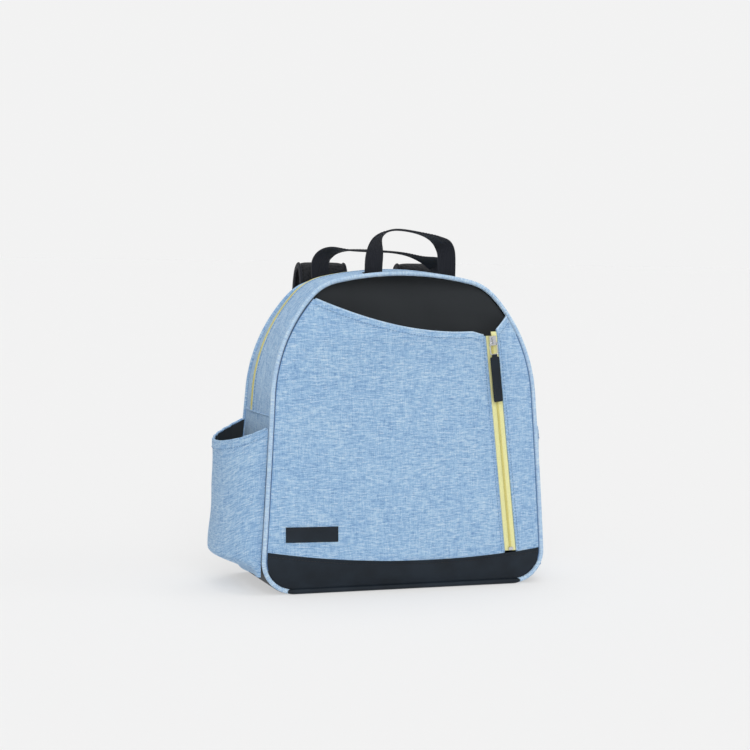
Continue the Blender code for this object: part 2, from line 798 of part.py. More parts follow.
def make_inside():
    """The wall behind the racket pocket, the back's stiff sheet and the laptop sleeve."""
    disc("pocket_divider", CLEAR, divider_point, CLOTH, "pebbled_leather")
    inside = -(CLOTH + GAP)
    within = lambda x, z: rear_point(x, z, inside)
    disc("back_sheet", SHEET_INSET, within, SHEET_T, "black_plastic", rings=2, at_rear=True)

    w, d, h = SLEEVE_SIZE
    tilt = math.atan(REAR_LEAN / HEIGHT)
    back = CLOTH + SHEET_T + 3 * GAP
    foot = rear_point(0.0, SLEEVE_FOOT_Z, -back)
    place = Matrix.Translation(foot) @ Matrix.Rotation(tilt, 4, "X")
    sleeve = box("laptop_sleeve", (-w / 2, -d, 0), (w / 2, -SHEET_T, h), "black_lining", place)
    t = SLEEVE_WALL
    hollow = box_mesh("sleeve_hollow", (-w / 2 + t, -d + t, t), (w / 2 - t, -SHEET_T - t / 2, h + t))
    combine(sleeve, "DIFFERENCE", hollow, place)


def pocket_height(share):
    """The height of a bottle pocket's top edge, lowest at its outermost point."""
    return POCKET_TOP_Z - POCKET_DIP * math.sin(math.pi * share)


def pocket_point(side, turn, z, reach, inset=0.0):
    """A point on a bottle pocket: turn goes from its front seam to its rear one."""
    share = mix(POCKET_FRONT_SHARE, POCKET_REAR_SHARE, (1.0 - math.cos(math.pi * turn)) / 2)
    foot = mix(POCKET_FOOT_SHARE, 1.0, smooth((z - POCKET_FOOT_Z) / (POCKET_FOLD_Z - POCKET_FOOT_Z)))
    wall_point = skin(OUTLINE.t_at(max(z, BOTTOM_Z + CORNER_R)), share)
    out = CLOTH + 2 * GAP + (reach - inset) * math.sin(math.pi * turn) * foot
    return Vector((side * (wall_point.x + out), wall_point.y, z))


def make_bottle_pockets():
    """The left pocket, held open, and the right one, nearly flat, with their hems."""
    for side, word, reach in ((-1, "left", LEFT_POCKET_OUT), (1, "right", RIGHT_POCKET_OUT)):
        rows = []
        for v in (0.0, 0.06, 0.12, 0.18, 0.45, 0.72, 1.0):
            row = []
            for turn in steps(0.0, 1.0, 12):
                row.append(pocket_point(side, turn, mix(POCKET_FOOT_Z, pocket_height(turn), v), reach))
            rows.append(row)
        sheet(f"bottle_pocket_{word}", rows, CLOTH, "blue_fabric", (0.0, 0.0, 0.1))
        line = []
        for turn in steps(0.06, 0.94, 12):
            line.append(pocket_point(side, turn, pocket_height(turn) + HEM_R + 6 * GAP, reach, CLOTH / 2))
        tube(f"pocket_hem_{word}", line, HEM_R, "blue_fabric")


def make_back():
    """The back panel, its breathable pad, the yoke that holds the straps and the wings at the foot."""
    disc("back_panel", CLEAR, rear_point, CLOTH, "black_lining", rings=2, at_rear=True)
    pad_back = lambda x, z: rear_point(x, z, GAP + BACK_PAD_T)
    disc("back_pad", BACK_PAD_INSET, pad_back, BACK_PAD_T, "black_mesh", rings=2, z_range=BACK_PAD_Z)
    low, high = YOKE_Z
    tilt = math.atan(REAR_LEAN / (HEIGHT))
    place = Matrix.Translation(rear_point(0.0, (low + high) / 2, GAP)) @ Matrix.Rotation(tilt, 4, "X")
    half = (high - low) / 2
    box("strap_yoke", (-YOKE_HALF_W, 0, -half), (YOKE_HALF_W, YOKE_T, half), "black_leather", place)
    w, h = WING_SIZE
    for side, word in ((-1, "left"), (1, "right")):
        place = Matrix.Translation(rear_point(side * WING_X, WING_Z, PIPING_R + GAP))
        place = place @ Matrix.Rotation(tilt, 4, "X")
        box(f"strap_wing_{word}", (-w / 2, 0, 0), (w / 2, WEBBING_T, h), "webbing_navy", place)


def strap_line(side):
    """The middle line of a shoulder strap, from its root over the fold and down the back."""
    out = GAP + YOKE_T + GAP + STRAP_T / 2
    route = (
        (STRAP_X, STRAP_ROOT_Z, out),
        (STRAP_X, 0.388, out + 0.004),
        (STRAP_X, 0.407, out + 0.016),
        (STRAP_X, 0.399, out + 0.031),
        (STRAP_X + 0.002, 0.362, out + 0.033),
        (STRAP_X + 0.008, 0.300, out + 0.028),
        (STRAP_X + 0.018, 0.220, out + 0.024),
        (STRAP_X + 0.028, STRAP_END_Z, out + 0.024),
    )
    return smooth_path([rear_point(side * x, z, d) for x, z, d in route], 3)


def make_straps():
    """Both shoulder straps, with the ladder lock at each end and the webbing that runs to the wing."""
    for side, word in ((-1, "left"), (1, "right")):
        line = strap_line(side)
        count = len(line) - 1
        bands = []
        for i, centre in enumerate(line):
            width = mix(STRAP_W, STRAP_END_W, smooth((i / count - 0.5) / 0.5))
            bands.append((centre, Vector((width, 0.0, 0.0))))
        pivot = Vector((side * STRAP_X, *STRAP_HINGE))
        ribbon(f"shoulder_strap_{word}", bands, STRAP_T, "black_mesh", pivot, rounding=0.003)

        end = line[-1]
        w, t, h = LOCK_SIZE
        place = Matrix.Translation(end - Vector((0.0, 0.0, h / 2 + 3 * GAP)))
        lock = box(f"ladder_lock_{word}", (-w / 2, -t / 2, -h / 2), (w / 2, t / 2, h / 2), "black_plastic", place)
        half = WEBBING_W / 2 + 2 * GAP
        for centre in (-LOCK_BAR / 2 - LOCK_SLOT / 2, LOCK_BAR / 2 + LOCK_SLOT / 2):
            low, high = centre - LOCK_SLOT / 2, centre + LOCK_SLOT / 2
            slot_cut = box_mesh(f"lock_slot_{word}_{high:.3f}", (-half, -t, low), (half, t, high))
            combine(lock, "DIFFERENCE", slot_cut, place)

        start = rear_point(side * WING_X, WING_Z + WING_SIZE[1] / 2, PIPING_R + 3 * GAP + WEBBING_T * 1.5)
        finish = end - Vector((0.0, 0.0, h + 6 * GAP))
        below = finish - Vector((0.0, 0.0, h / 2))
        middle = start.lerp(below, 0.5) + Vector((side * 0.008, 0.006, -0.004))
        route = smooth_path([start, middle, below, finish], 3)
        bands = []
        for i, centre in enumerate(route):
            along = (route[min(i + 1, len(route) - 1)] - route[max(i - 1, 0)]).normalized()
            across = Vector((0.0, 1.0, 0.0)).cross(along).normalized()
            level = smooth(2.5 * i / (len(route) - 1) - 1.5)
            bands.append((centre, across.lerp(Vector((1.0, 0.0, 0.0)), level) * WEBBING_W))
        ribbon(f"lower_webbing_{word}", bands, WEBBING_T, "webbing_navy", start)


def top_skin(x, y):
    """The highest point of the top's outer face under a handle's foot at (x, y)."""
    nearest = abs(x) - HANDLE_W / 2
    t = OUTLINE.t_where(lambda px, _, t: t < 4.0 or px > nearest)
    front, rear = skin(t, 0.0).y, skin(t, 1.0).y
    return skin(t, (y - front) / (rear - front)).z


def make_handles():
    """The two webbing handles, each from its left foot to its right one."""
    lx, rx = FRONT_HANDLE_X
    y = FRONT_HANDLE_Y
    feet = [top_skin(x, y) + HANDLE_FOOT_GAP for x in (lx, rx)]
    pivot = Vector((mix(lx, rx, 0.5), y, min(feet)))
    top = HEIGHT + FRONT_HANDLE_RISE
    # each step: x, height, and how far the webbing has turned from facing the front to lying flat
    route = (
        (lx, feet[0], 0), (lx + 0.001, top - 0.036, 0), (lx + 0.004, top - 0.017, 35),
        (lx + 0.014, top - 0.005, 75), (lx + 0.032, top, 90), (rx - 0.036, top - 0.004, 90),
        (rx - 0.014, top - 0.012, 70), (rx - 0.002, top - 0.026, 25), (rx, feet[1], 0),
    )
    make_handle("front_handle", route, y, pivot)

    lx, rx = REAR_HANDLE_X
    y = REAR_HANDLE_Y
    feet = [top_skin(x, y) + HANDLE_FOOT_GAP for x in (lx, rx)]
    pivot = Vector((mix(lx, rx, 0.5), y, min(feet)))
    top = HEIGHT + REAR_HANDLE_RISE
    route = (
        (lx, feet[0], 0), (lx, top - 0.016, 0), (lx + 0.012, top - 0.004, 45),
        (lx + 0.040, top, 90), (rx - 0.062, top - 0.002, 90), (rx - 0.028, top - 0.009, 80),
        (rx - 0.004, top - 0.018, 35), (rx, feet[1] + 0.006, 0), (rx, feet[1], 0),
    )
    make_handle("rear_handle", route, y, pivot)


def make_handle(name, route, y, pivot):
    """A webbing handle in the plane y, whose width turns from X at the feet to Y along the top."""
    points = smooth_path([Vector((x, y, z)) for x, z, _ in route], 2)
    turns = smooth_path([Vector((turn, 0.0, 0.0)) for _, _, turn in route], 2)
    bands = []
    for i, centre in enumerate(points):
        along = (points[min(i + 1, len(points) - 1)] - points[max(i - 1, 0)]).normalized()
        flat = Vector((0.0, 1.0, 0.0))
        facing = flat.cross(along)
        turn = math.radians(turns[i].x)
        bands.append((centre, (facing * math.cos(turn) + flat * math.sin(turn)) * HANDLE_W))
    ribbon(name, bands, HANDLE_T, "webbing_navy", pivot)


def main():
    """Builds every sub-part."""
    make_front()
    make_pocket_zip()
    make_slider("pocket", pocket_zip_frame(ZIP_TOP_Z - SLIDER_START), POCKET_TAB_L)
    make_walls()
    make_slider("main", main_slider_frame(), MAIN_TAB_L)
    make_inside()
    make_bottle_pockets()
    make_back()
    make_straps()
    make_handles()


main()
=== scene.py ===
"""Looks of the racket backpack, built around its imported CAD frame.

Cloth pieces are dense curved sheets with folded hems, piping, stitches and zip teeth as geometry.
The back pad and the shoulder straps are blown up by cloth simulation. Hard parts stay the CAD's own.
"""

import json
import logging
import math
from dataclasses import dataclass
from enum import Enum
from typing import Callable, Dict, List, Optional, Sequence, Tuple, Union

import bmesh
import bpy
import numpy as np
from mathutils import Matrix, Vector
from mathutils.bvhtree import BVHTree

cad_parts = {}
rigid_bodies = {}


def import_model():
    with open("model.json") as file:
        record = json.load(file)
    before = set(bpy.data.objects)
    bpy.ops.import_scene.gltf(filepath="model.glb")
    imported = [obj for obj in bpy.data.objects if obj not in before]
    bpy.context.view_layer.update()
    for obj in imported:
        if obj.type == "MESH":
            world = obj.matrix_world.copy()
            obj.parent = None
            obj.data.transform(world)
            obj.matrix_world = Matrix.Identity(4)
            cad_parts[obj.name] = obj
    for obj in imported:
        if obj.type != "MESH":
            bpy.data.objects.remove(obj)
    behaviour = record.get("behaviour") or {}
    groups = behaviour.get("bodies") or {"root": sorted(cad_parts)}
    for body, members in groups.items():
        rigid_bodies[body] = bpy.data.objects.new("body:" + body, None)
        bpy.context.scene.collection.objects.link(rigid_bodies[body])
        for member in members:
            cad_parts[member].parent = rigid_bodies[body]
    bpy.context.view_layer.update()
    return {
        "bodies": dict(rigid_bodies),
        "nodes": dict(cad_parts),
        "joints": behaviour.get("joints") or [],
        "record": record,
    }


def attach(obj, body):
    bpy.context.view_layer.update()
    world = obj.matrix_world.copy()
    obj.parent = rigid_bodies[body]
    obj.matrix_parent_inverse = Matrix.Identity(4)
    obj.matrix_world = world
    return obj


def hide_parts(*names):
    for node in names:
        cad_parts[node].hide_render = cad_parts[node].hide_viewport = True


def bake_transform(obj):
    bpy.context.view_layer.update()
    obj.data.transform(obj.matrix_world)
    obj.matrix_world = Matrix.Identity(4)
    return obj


LOG = logging.getLogger("racket_backpack")
Array = np.ndarray
Curve = Callable[[Array], Array]
Socket = Union[bpy.types.NodeSocket, float]
Color = Tuple[float, float, float]


# Numbers and curves


ALONG_Y = (0.0, 1.0, 0.0)
ALONG_Z = (0.0, 0.0, 1.0)
BEHIND_FRONT = (0.0, 0.1, 0.2)  # the front pieces' outer faces look away from this point
INSIDE = (0.0, 0.0, 0.2)  # the side pieces' outer faces look away from this one


def smooth(value: Array) -> Array:
    """Eases 0 to 1. Args: value. Returns: the eased value."""
    v = np.clip(value, 0.0, 1.0)
    return v * v * (3.0 - 2.0 * v)


def mix(a: Array, b: Array, share: Array) -> Array:
    """Between a and b. Args: both ends, share. Returns: the value."""
    return a + (b - a) * share


def unit(v: Array) -> Array:
    """Args: vectors along the last axis. Returns: the same at length one."""
    return v / np.maximum(np.linalg.norm(v, axis=-1, keepdims=True), 1e-12)


def ripple(a: Array, b: Array, size: float, seed: int) -> Array:
    """Soft uneven waves.

    Args: a, b: the place, in metres; size: how far apart the waves are; seed: which waves.
    Returns: values from -1 to 1.
    """
    total = 0.0
    for k in range(5):
        angle = seed * 2.399 + k * 1.7
        wave = 2.0 * math.pi / size * (0.55 + 0.31 * k)
        total = total + np.sin(wave * (a * math.cos(angle) + b * math.sin(angle)) + seed * 5.1 + k * 2.3)
    return total / 5.0


def lengths(path: Array) -> Array:
    """Args: points. Returns: the distance of each along the path."""
    return np.concatenate([[0.0], np.cumsum(np.linalg.norm(np.diff(path, axis=0), axis=1))])


def resample(path: Array, step: float) -> Array:
    """Args: points, step in metres. Returns: evenly spaced points along the same path."""
    run = lengths(path)
    at = np.linspace(0.0, run[-1], max(2, int(round(run[-1] / step)) + 1))
    return np.stack([np.interp(at, run, path[:, k]) for k in range(path.shape[1])], axis=1)


def curve_through(points: Sequence[Sequence[float]], count: int) -> Array:
    """A Catmull-Rom curve. Args: points; count: steps to each stretch. Returns: the points on it."""
    given = np.array(points, float)
    p = np.concatenate([[2 * given[0] - given[1]], given, [2 * given[-1] - given[-2]]])
    s = np.linspace(0.0, 1.0, count, endpoint=False)[:, None]
    found = []
    for i in range(1, len(p) - 2):
        a = 2 * p[i] + (p[i + 1] - p[i - 1]) * s
        b = (2 * p[i - 1] - 5 * p[i] + 4 * p[i + 1] - p[i + 2]) * s**2
        c = (3 * p[i] - p[i - 1] - 3 * p[i + 1] + p[i + 2]) * s**3
        found.append((a + b + c) / 2)
    return np.concatenate([*found, given[-1:]])


def tangents(path: Array, closed: bool = False) -> Array:
    """Args: points, whether they close. Returns: the unit direction at each."""
    if closed:
        return unit(np.roll(path, -1, axis=0) - np.roll(path, 1, axis=0))
    return unit(np.gradient(path, axis=0))


# Meshes


def make_object(
    name: str, verts: Array, faces: List[Sequence[int]], cut: Optional[Array] = None
) -> bpy.types.Object:
    """A smooth-shaded mesh object.

    Args: name; verts; faces; cut: where each vertex lies on the flat cloth, in metres.
    Returns: the object, linked to the scene.
    """
    mesh = bpy.data.meshes.new(name)
    mesh.from_pydata(np.asarray(verts, float).tolist(), [], [tuple(int(i) for i in f) for f in faces])
    if cut is not None:
        flat = np.zeros((len(verts), 3), np.float32)
        flat[:, : cut.shape[1]] = cut
        mesh.attributes.new("cut", "FLOAT_VECTOR", "POINT").data.foreach_set("vector", flat.ravel())
    mesh.shade_smooth()
    obj = bpy.data.objects.new(name, mesh)
    bpy.context.scene.collection.objects.link(obj)
    return obj


def crease(obj: bpy.types.Object, groups: Array) -> None:
    """Keeps the rim of a cloth crisp. Args: obj; groups: 1 or 2 for a vertex on a rim edge, else 0."""
    mesh = obj.data
    pairs = np.zeros(len(mesh.edges) * 2, np.int32)
    mesh.edges.foreach_get("vertices", pairs)
    first, second = groups[pairs[::2]], groups[pairs[1::2]]
    sharp = (first > 0) & (first == second)
    mesh.attributes.new("sharp_edge", "BOOLEAN", "EDGE").data.foreach_set("value", sharp)


def flat_places(points: Array) -> Array:
    """Args: a grid of points. Returns: (rows, columns, 2), the distances along rows and columns."""
    along = np.linalg.norm(np.diff(points, axis=1), axis=2)
    u = np.concatenate([np.zeros((len(points), 1)), np.cumsum(along, axis=1)], axis=1)
    u = u - u[:, u.shape[1] // 2][:, None]
    down = np.linalg.norm(np.diff(points, axis=0), axis=2)
    v = np.concatenate([np.zeros((1, points.shape[1])), np.cumsum(down, axis=0)])
    return np.stack([u, v], axis=-1)


def cloth(
    name: str,
    outer: Array,
    thickness: float,
    away: Optional[Sequence[float]] = None,
    closed: bool = False,
    cut: Optional[Array] = None,
) -> bpy.types.Object:
    """A closed piece of cloth or leather.

    Args: name; outer: a (rows, columns, 3) grid of its outer face; thickness; away: a point that the outer
    face looks away from; closed: each row is a loop; cut: the flat place of each grid point.
    Returns: the object; its inner faces use material slot 1 when there is one.
    """
    cut = flat_places(outer) if cut is None else cut
    if closed:
        across = np.roll(outer, -1, axis=1) - np.roll(outer, 1, axis=1)
    else:
        across = np.gradient(outer, axis=1)
    normal = unit(np.cross(across, np.gradient(outer, axis=0)))
    if away is not None and ((outer - np.array(away)) * normal).sum() < 0:
        outer, normal, cut = outer[:, ::-1], -normal[:, ::-1], cut[:, ::-1]
    rows, columns = outer.shape[:2]
    count = rows * columns
    inner = outer - normal * thickness
    index = np.arange(count).reshape(rows, columns)
    wide = np.concatenate([index, index[:, :1]], axis=1) if closed else index
    a, b, c, d = wide[:-1, :-1], wide[:-1, 1:], wide[1:, 1:], wide[1:, :-1]
    front = np.stack([a, b, c, d], axis=-1).reshape(-1, 4)
    back = front[:, ::-1] + count
    if closed:
        rims = [wide[0], wide[-1][::-1]]
    else:
        rims = [np.concatenate([index[0], index[1:, -1], index[-1, -2::-1], index[-2::-1, 0]])]
    sides = [np.stack([r[1:], r[:-1], r[:-1] + count, r[1:] + count], axis=-1) for r in rims]
    faces = np.concatenate([front, back, *sides])
    verts = np.concatenate([outer.reshape(-1, 3), inner.reshape(-1, 3)])
    obj = make_object(name, verts, faces.tolist(), np.concatenate([cut.reshape(-1, 2)] * 2))
    groups = np.zeros(2 * count, np.int32)
    for r in rims:
        groups[r] = 1
        groups[r + count] = 2
    crease(obj, groups)
    lining = np.zeros(len(faces), np.int32)
    lining[len(front) : 2 * len(front)] = 1
    obj["lining"] = True
    obj.data.attributes.new("lining_face", "INT", "FACE").data.foreach_set("value", lining)
    return obj


def sweep(
    name: str, centres: Array, across: Array, outward: Array, section: Array, closed: bool = False
) -> bpy.types.Object:
    """A solid swept along a line.

    Args: name; centres; across and outward: the section's two axes at each centre; section: (k, 2) points in
    turn; closed: the line is a loop.
    Returns: the object.
    """
    n, k = len(centres), len(section)
    verts = centres[:, None] + section[None, :, :1] * across[:, None] + section[
        None, :, 1:
    ] * outward[:, None]
    ahead = tangents(centres, closed)
    turned = (np.cross(across, outward) * ahead).sum() < 0
    if turned:
        verts = verts[:, ::-1]
    rows = np.arange(n * k).reshape(n, k)
    if closed:
        rows = np.concatenate([rows, rows[:1]])
    rows = np.concatenate([rows, rows[:, :1]], axis=1)
    faces = np.stack(
        [rows[:-1, :-1], rows[:-1, 1:], rows[1:, 1:], rows[1:, :-1]], axis=-1
    ).reshape(-1, 4).tolist()
    if not closed:
        faces.append(rows[0, :-1][::-1].tolist())
        faces.append(rows[-1, :-1].tolist())
    girth = np.concatenate([[0.0], np.cumsum(np.linalg.norm(np.diff(verts[n // 2], axis=0), axis=1))])
    cut = np.stack(np.broadcast_arrays(girth[None, :], lengths(centres)[:, None]), axis=-1)
    return make_object(name, verts.reshape(-1, 3), faces, cut.reshape(-1, 2))


def ring(count: int) -> Array:
    """Args: how many points. Returns: a unit circle of them."""
    angle = np.linspace(0.0, 2.0 * math.pi, count, endpoint=False)
    return np.stack([np.cos(angle), np.sin(angle)], axis=1)


def tube(
    name: str,
    path: Array,
    radius: Union[float, Array],
    axis: Sequence[float],
    sides: int = 12,
    closed: bool = False,
    flat: float = 1.0,
) -> bpy.types.Object:
    """A round cord. Args: name; path; radius; axis: never along it; sides; closed; flat: height over width.

    Returns: the object.
    """
    ahead = tangents(path, closed)
    across = unit(np.cross(np.array(axis, float), ahead))
    outward = np.cross(ahead, across)
    size = np.broadcast_to(radius, len(path))[:, None]
    return sweep(name, path, across * size, outward * size * flat, ring(sides), closed)


def scatter(
    name: str, verts: Array, faces: Sequence[Sequence[int]], origins: Array, axes: Array
) -> bpy.types.Object:
    """Copies of one small shape as one mesh.

    Args: name; verts and faces of the shape; origins: (n, 3); axes: (n, 3, 3), rows are local X, Y and Z.
    Returns: the object.
    """
    placed = origins[:, None] + np.einsum("kc,ncd->nkd", verts, axes)
    count = len(verts)
    all_faces = [[i + n * count for i in f] for n in range(len(origins)) for f in faces]
    return make_object(name, placed.reshape(-1, 3), all_faces)


def bead(rings: int, sides: int, power: float) -> Tuple[Array, List[List[int]]]:
    """A rounded grain of unit half sizes. Args: rings, sides, power: how square. Returns: verts and faces."""
    x = np.linspace(-1.0, 1.0, rings)
    r = np.maximum(1.0 - np.abs(x) ** power, 0.0) ** (1.0 / power)
    r[0] = r[-1] = 0.35
    circle = ring(sides)
    verts = np.stack(
        [np.repeat(x, sides), np.outer(r, circle[:, 0]).ravel(), np.outer(r, circle[:, 1]).ravel()], 1
    )
    faces = []
    for i in range(rings - 1):
        for j in range(sides):
            k = (j + 1) % sides
            faces.append([i * sides + j, (i + 1) * sides + j, (i + 1) * sides + k, i * sides + k][::-1])
    faces.append(list(range(sides))[::-1])
    faces.append([(rings - 1) * sides + j for j in range(sides)])
    return verts, faces


@dataclass(frozen=True)
class Stitch:
    """A row of stitches: each one's length, the space between two, and the thread's half thickness."""

    length: float = 0.0030
    gap: float = 0.0011
    radius: float = 0.00032

    def row(self, name: str, path: Array, normals: Array) -> bpy.types.Object:
        """Args: name; path on the cloth's face; normals there. Returns: the stitches as one object."""
        run = lengths(path)
        pitch = self.length + self.gap
        at = np.arange(pitch / 2, run[-1] - pitch / 3, pitch)
        centres = np.stack([np.interp(at, run, path[:, k]) for k in range(3)], axis=1)
        up = unit(np.stack([np.interp(at, run, normals[:, k]) for k in range(3)], axis=1))
        ahead = tangents(path)
        x = unit(np.stack([np.interp(at, run, ahead[:, k]) for k in range(3)], axis=1))
        y = unit(np.cross(up, x))
        axes = np.stack([x * self.length / 2, y * self.radius, np.cross(x, y) * self.radius], axis=1)
        verts, faces = bead(5, 6, 3.0)
        return scatter(name, verts, faces, centres, axes)


# Finishes


class Bench:
    """Places and joins the shader nodes of one material."""

    def __init__(self, name: str) -> None:
        """Args: name of the material."""
        self.material = bpy.data.materials.new(name)
        self.material.use_nodes = True
        self.tree = self.material.node_tree
        self.shader = self.tree.nodes["Principled BSDF"]

    def node(self, kind: str, **settings: object) -> bpy.types.Node:
        """Args: kind of node; its settings. Returns: the node."""
        made = self.tree.nodes.new(kind)
        for key, value in settings.items():
            setattr(made, key, value)
        return made

    def feed(self, target: bpy.types.NodeSocket, value: Socket) -> None:
        """Joins or sets an input. Args: target; value: a socket or a plain value."""
        if isinstance(value, bpy.types.NodeSocket):
            self.tree.links.new(value, target)
        else:
            target.default_value = value

    def math(self, operation: str, *values: Socket) -> bpy.types.NodeSocket:
        """Args: operation; its values. Returns: the result."""
        made = self.node("ShaderNodeMath", operation=operation)
        for target, value in zip(made.inputs, values):
            self.feed(target, value)
        return made.outputs[0]

    def vector(self, x: Socket, y: Socket, z: Socket = 0.0) -> bpy.types.NodeSocket:
        """Args: three values. Returns: the vector."""
        made = self.node("ShaderNodeCombineXYZ")
        for target, value in zip(made.inputs, (x, y, z)):
            self.feed(target, value)
        return made.outputs[0]

    def place(self) -> bpy.types.NodeSocket:
        """Returns: the point in the object's own space."""
        return self.node("ShaderNodeTexCoord").outputs["Object"]

    def cut(self) -> Tuple[bpy.types.NodeSocket, bpy.types.NodeSocket]:
        """Returns: the point's place on the flat cloth, across and along."""
        split = self.node("ShaderNodeSeparateXYZ")
        self.tree.links.new(
            self.node("ShaderNodeAttribute", attribute_name="cut").outputs["Vector"], split.inputs[0]
        )
        return split.outputs[0], split.outputs[1]

    def noise(
        self, vector: Socket, scale: float, detail: float = 2.0, roughness: float = 0.5
    ) -> bpy.types.NodeSocket:
        """Args: vector, scale, detail, roughness. Returns: the noise's value."""
        made = self.node("ShaderNodeTexNoise")
        self.feed(made.inputs["Vector"], vector)
        self.feed(made.inputs["Scale"], scale)
        self.feed(made.inputs["Detail"], detail)
        self.feed(made.inputs["Roughness"], roughness)
        return made.outputs["Fac"]

    def cells(self, vector: Socket, scale: float, feature: str = "SMOOTH_F1") -> bpy.types.NodeSocket:
        """Args: vector, scale, feature. Returns: the distance in a Voronoi pattern."""
        made = self.node("ShaderNodeTexVoronoi", feature=feature)
        self.feed(made.inputs["Vector"], vector)
        self.feed(made.inputs["Scale"], scale)
        return made.outputs["Distance"]

    def ramp(self, value: Socket, stops: Sequence[Tuple[float, Color]]) -> bpy.types.NodeSocket:
        """Args: value; stops: places and colours. Returns: the colour."""
        made = self.node("ShaderNodeValToRGB")
        self.feed(made.inputs[0], value)
        elements = made.color_ramp.elements
        while len(elements) < len(stops):
            elements.new(0.5)
        for element, (at, color) in zip(elements, stops):
            element.position = at
            element.color = (*color, 1.0)
        return made.outputs[0]

    def blend(self, share: Socket, a: Socket, b: Socket) -> bpy.types.NodeSocket:
        """Args: share; two values. Returns: the value between them."""
        made = self.node("ShaderNodeMix", data_type="FLOAT")
        for target, value in zip(made.inputs[:1] + made.inputs[2:4], (share, a, b)):
            self.feed(target, value)
        return made.outputs[0]

    def bump(self, height: Socket, distance: float, strength: float = 1.0) -> None:
        """Roughens the surface. Args: height; distance in metres; strength."""
        made = self.node("ShaderNodeBump")
        self.feed(made.inputs["Height"], height)
        self.feed(made.inputs["Distance"], distance)
        self.feed(made.inputs["Strength"], strength)
        under = self.shader.inputs["Normal"]
        if under.is_linked:
            self.tree.links.new(under.links[0].from_socket, made.inputs["Normal"])
        self.tree.links.new(made.outputs[0], under)

    def surface(self, **values: Socket) -> None:
        """Sets the shader's inputs. Args: each input's name, with _ for a space, and its value."""
        for key, value in values.items():
            self.feed(self.shader.inputs[key.replace("_", " ")], value)


@dataclass(frozen=True)
class Linen:
    """Heathered plain weave: thread pitch, and the colours of its dark, middle, light and palest threads."""

    name: str = "blue_linen"
    pitch: float = 0.00095
    slub: float = 84.0
    tones: Tuple[Color, ...] = (
        (0.170, 0.320, 0.580), (0.265, 0.445, 0.690), (0.385, 0.575, 0.780), (0.600, 0.735, 0.860)
    )
    stops: Tuple[float, ...] = (0.36, 0.45, 0.54, 0.66)

    def build(self) -> bpy.types.Material:
        """Returns: the material."""
        bench = Bench(self.name)
        u, v = bench.cut()
        across, along = bench.math("DIVIDE", u, self.pitch), bench.math("DIVIDE", v, self.pitch)
        column, row = bench.math("FLOOR", across), bench.math("FLOOR", along)
        run_u, run_v = bench.math("MULTIPLY", u, self.slub), bench.math("MULTIPLY", v, self.slub)
        weft = bench.noise(bench.vector(run_u, bench.math("MULTIPLY", row, 3.17), 0.0), 1.0, 3.0, 0.65)
        warp = bench.noise(bench.vector(bench.math("MULTIPLY", column, 2.71), run_v, 7.5), 1.0, 3.0, 0.65)
        parity = bench.math("FRACT", bench.math("MULTIPLY", bench.math("ADD", column, row), 0.5))
        over = bench.math("GREATER_THAN", parity, 0.25)
        tone = bench.blend(bench.math("MULTIPLY", over, 0.62), weft, warp)
        wide = bench.noise(bench.place(), 26.0, 2.0)
        tone = bench.math("ADD", tone, bench.math("MULTIPLY", bench.math("SUBTRACT", wide, 0.5), 0.06))
        color = bench.ramp(tone, list(zip(self.stops, self.tones)))
        rise_u = bench.math("ABSOLUTE", bench.math("SINE", bench.math("MULTIPLY", across, math.pi)))
        rise_v = bench.math("ABSOLUTE", bench.math("SINE", bench.math("MULTIPLY", along, math.pi)))
        thread = bench.blend(over, rise_v, rise_u)
        bench.bump(thread, 0.00028, 0.7)
        bench.bump(tone, 0.0009, 0.5)
        bench.surface(Base_Color=color, Roughness=0.88, Sheen_Weight=0.12, Specular_IOR_Level=0.25)
        return bench.material


@dataclass(frozen=True)
class Leather:
    """Synthetic leather: its colour, gloss, and the size and depth of its grain or pebbles."""

    name: str
    color: Color
    roughness: float
    grain: float
    depth: float
    shine: float = 0.3

    def build(self) -> bpy.types.Material:
        """Returns: the material."""
        bench = Bench(self.name)
        place = bench.place()
        pebble = bench.cells(place, 1.0 / self.grain, "F1")
        fine = bench.noise(place, 1600.0, 3.0)
        shade = bench.noise(place, 30.0, 3.0)
        low = tuple(c * 0.8 for c in self.color)
        high = tuple(c * 1.25 for c in self.color)
        bench.bump(bench.math("SUBTRACT", 1.0, bench.math("POWER", pebble, 2.0)), self.depth, 1.0)
        bench.bump(fine, 0.00006, 0.6)
        rough = bench.math("ADD", self.roughness - 0.05, bench.math("MULTIPLY", shade, 0.1))
        bench.surface(Base_Color=bench.ramp(shade, [(0.35, low), (0.65, high)]), Roughness=rough)
        bench.surface(Specular_IOR_Level=self.shine)
        return bench.material


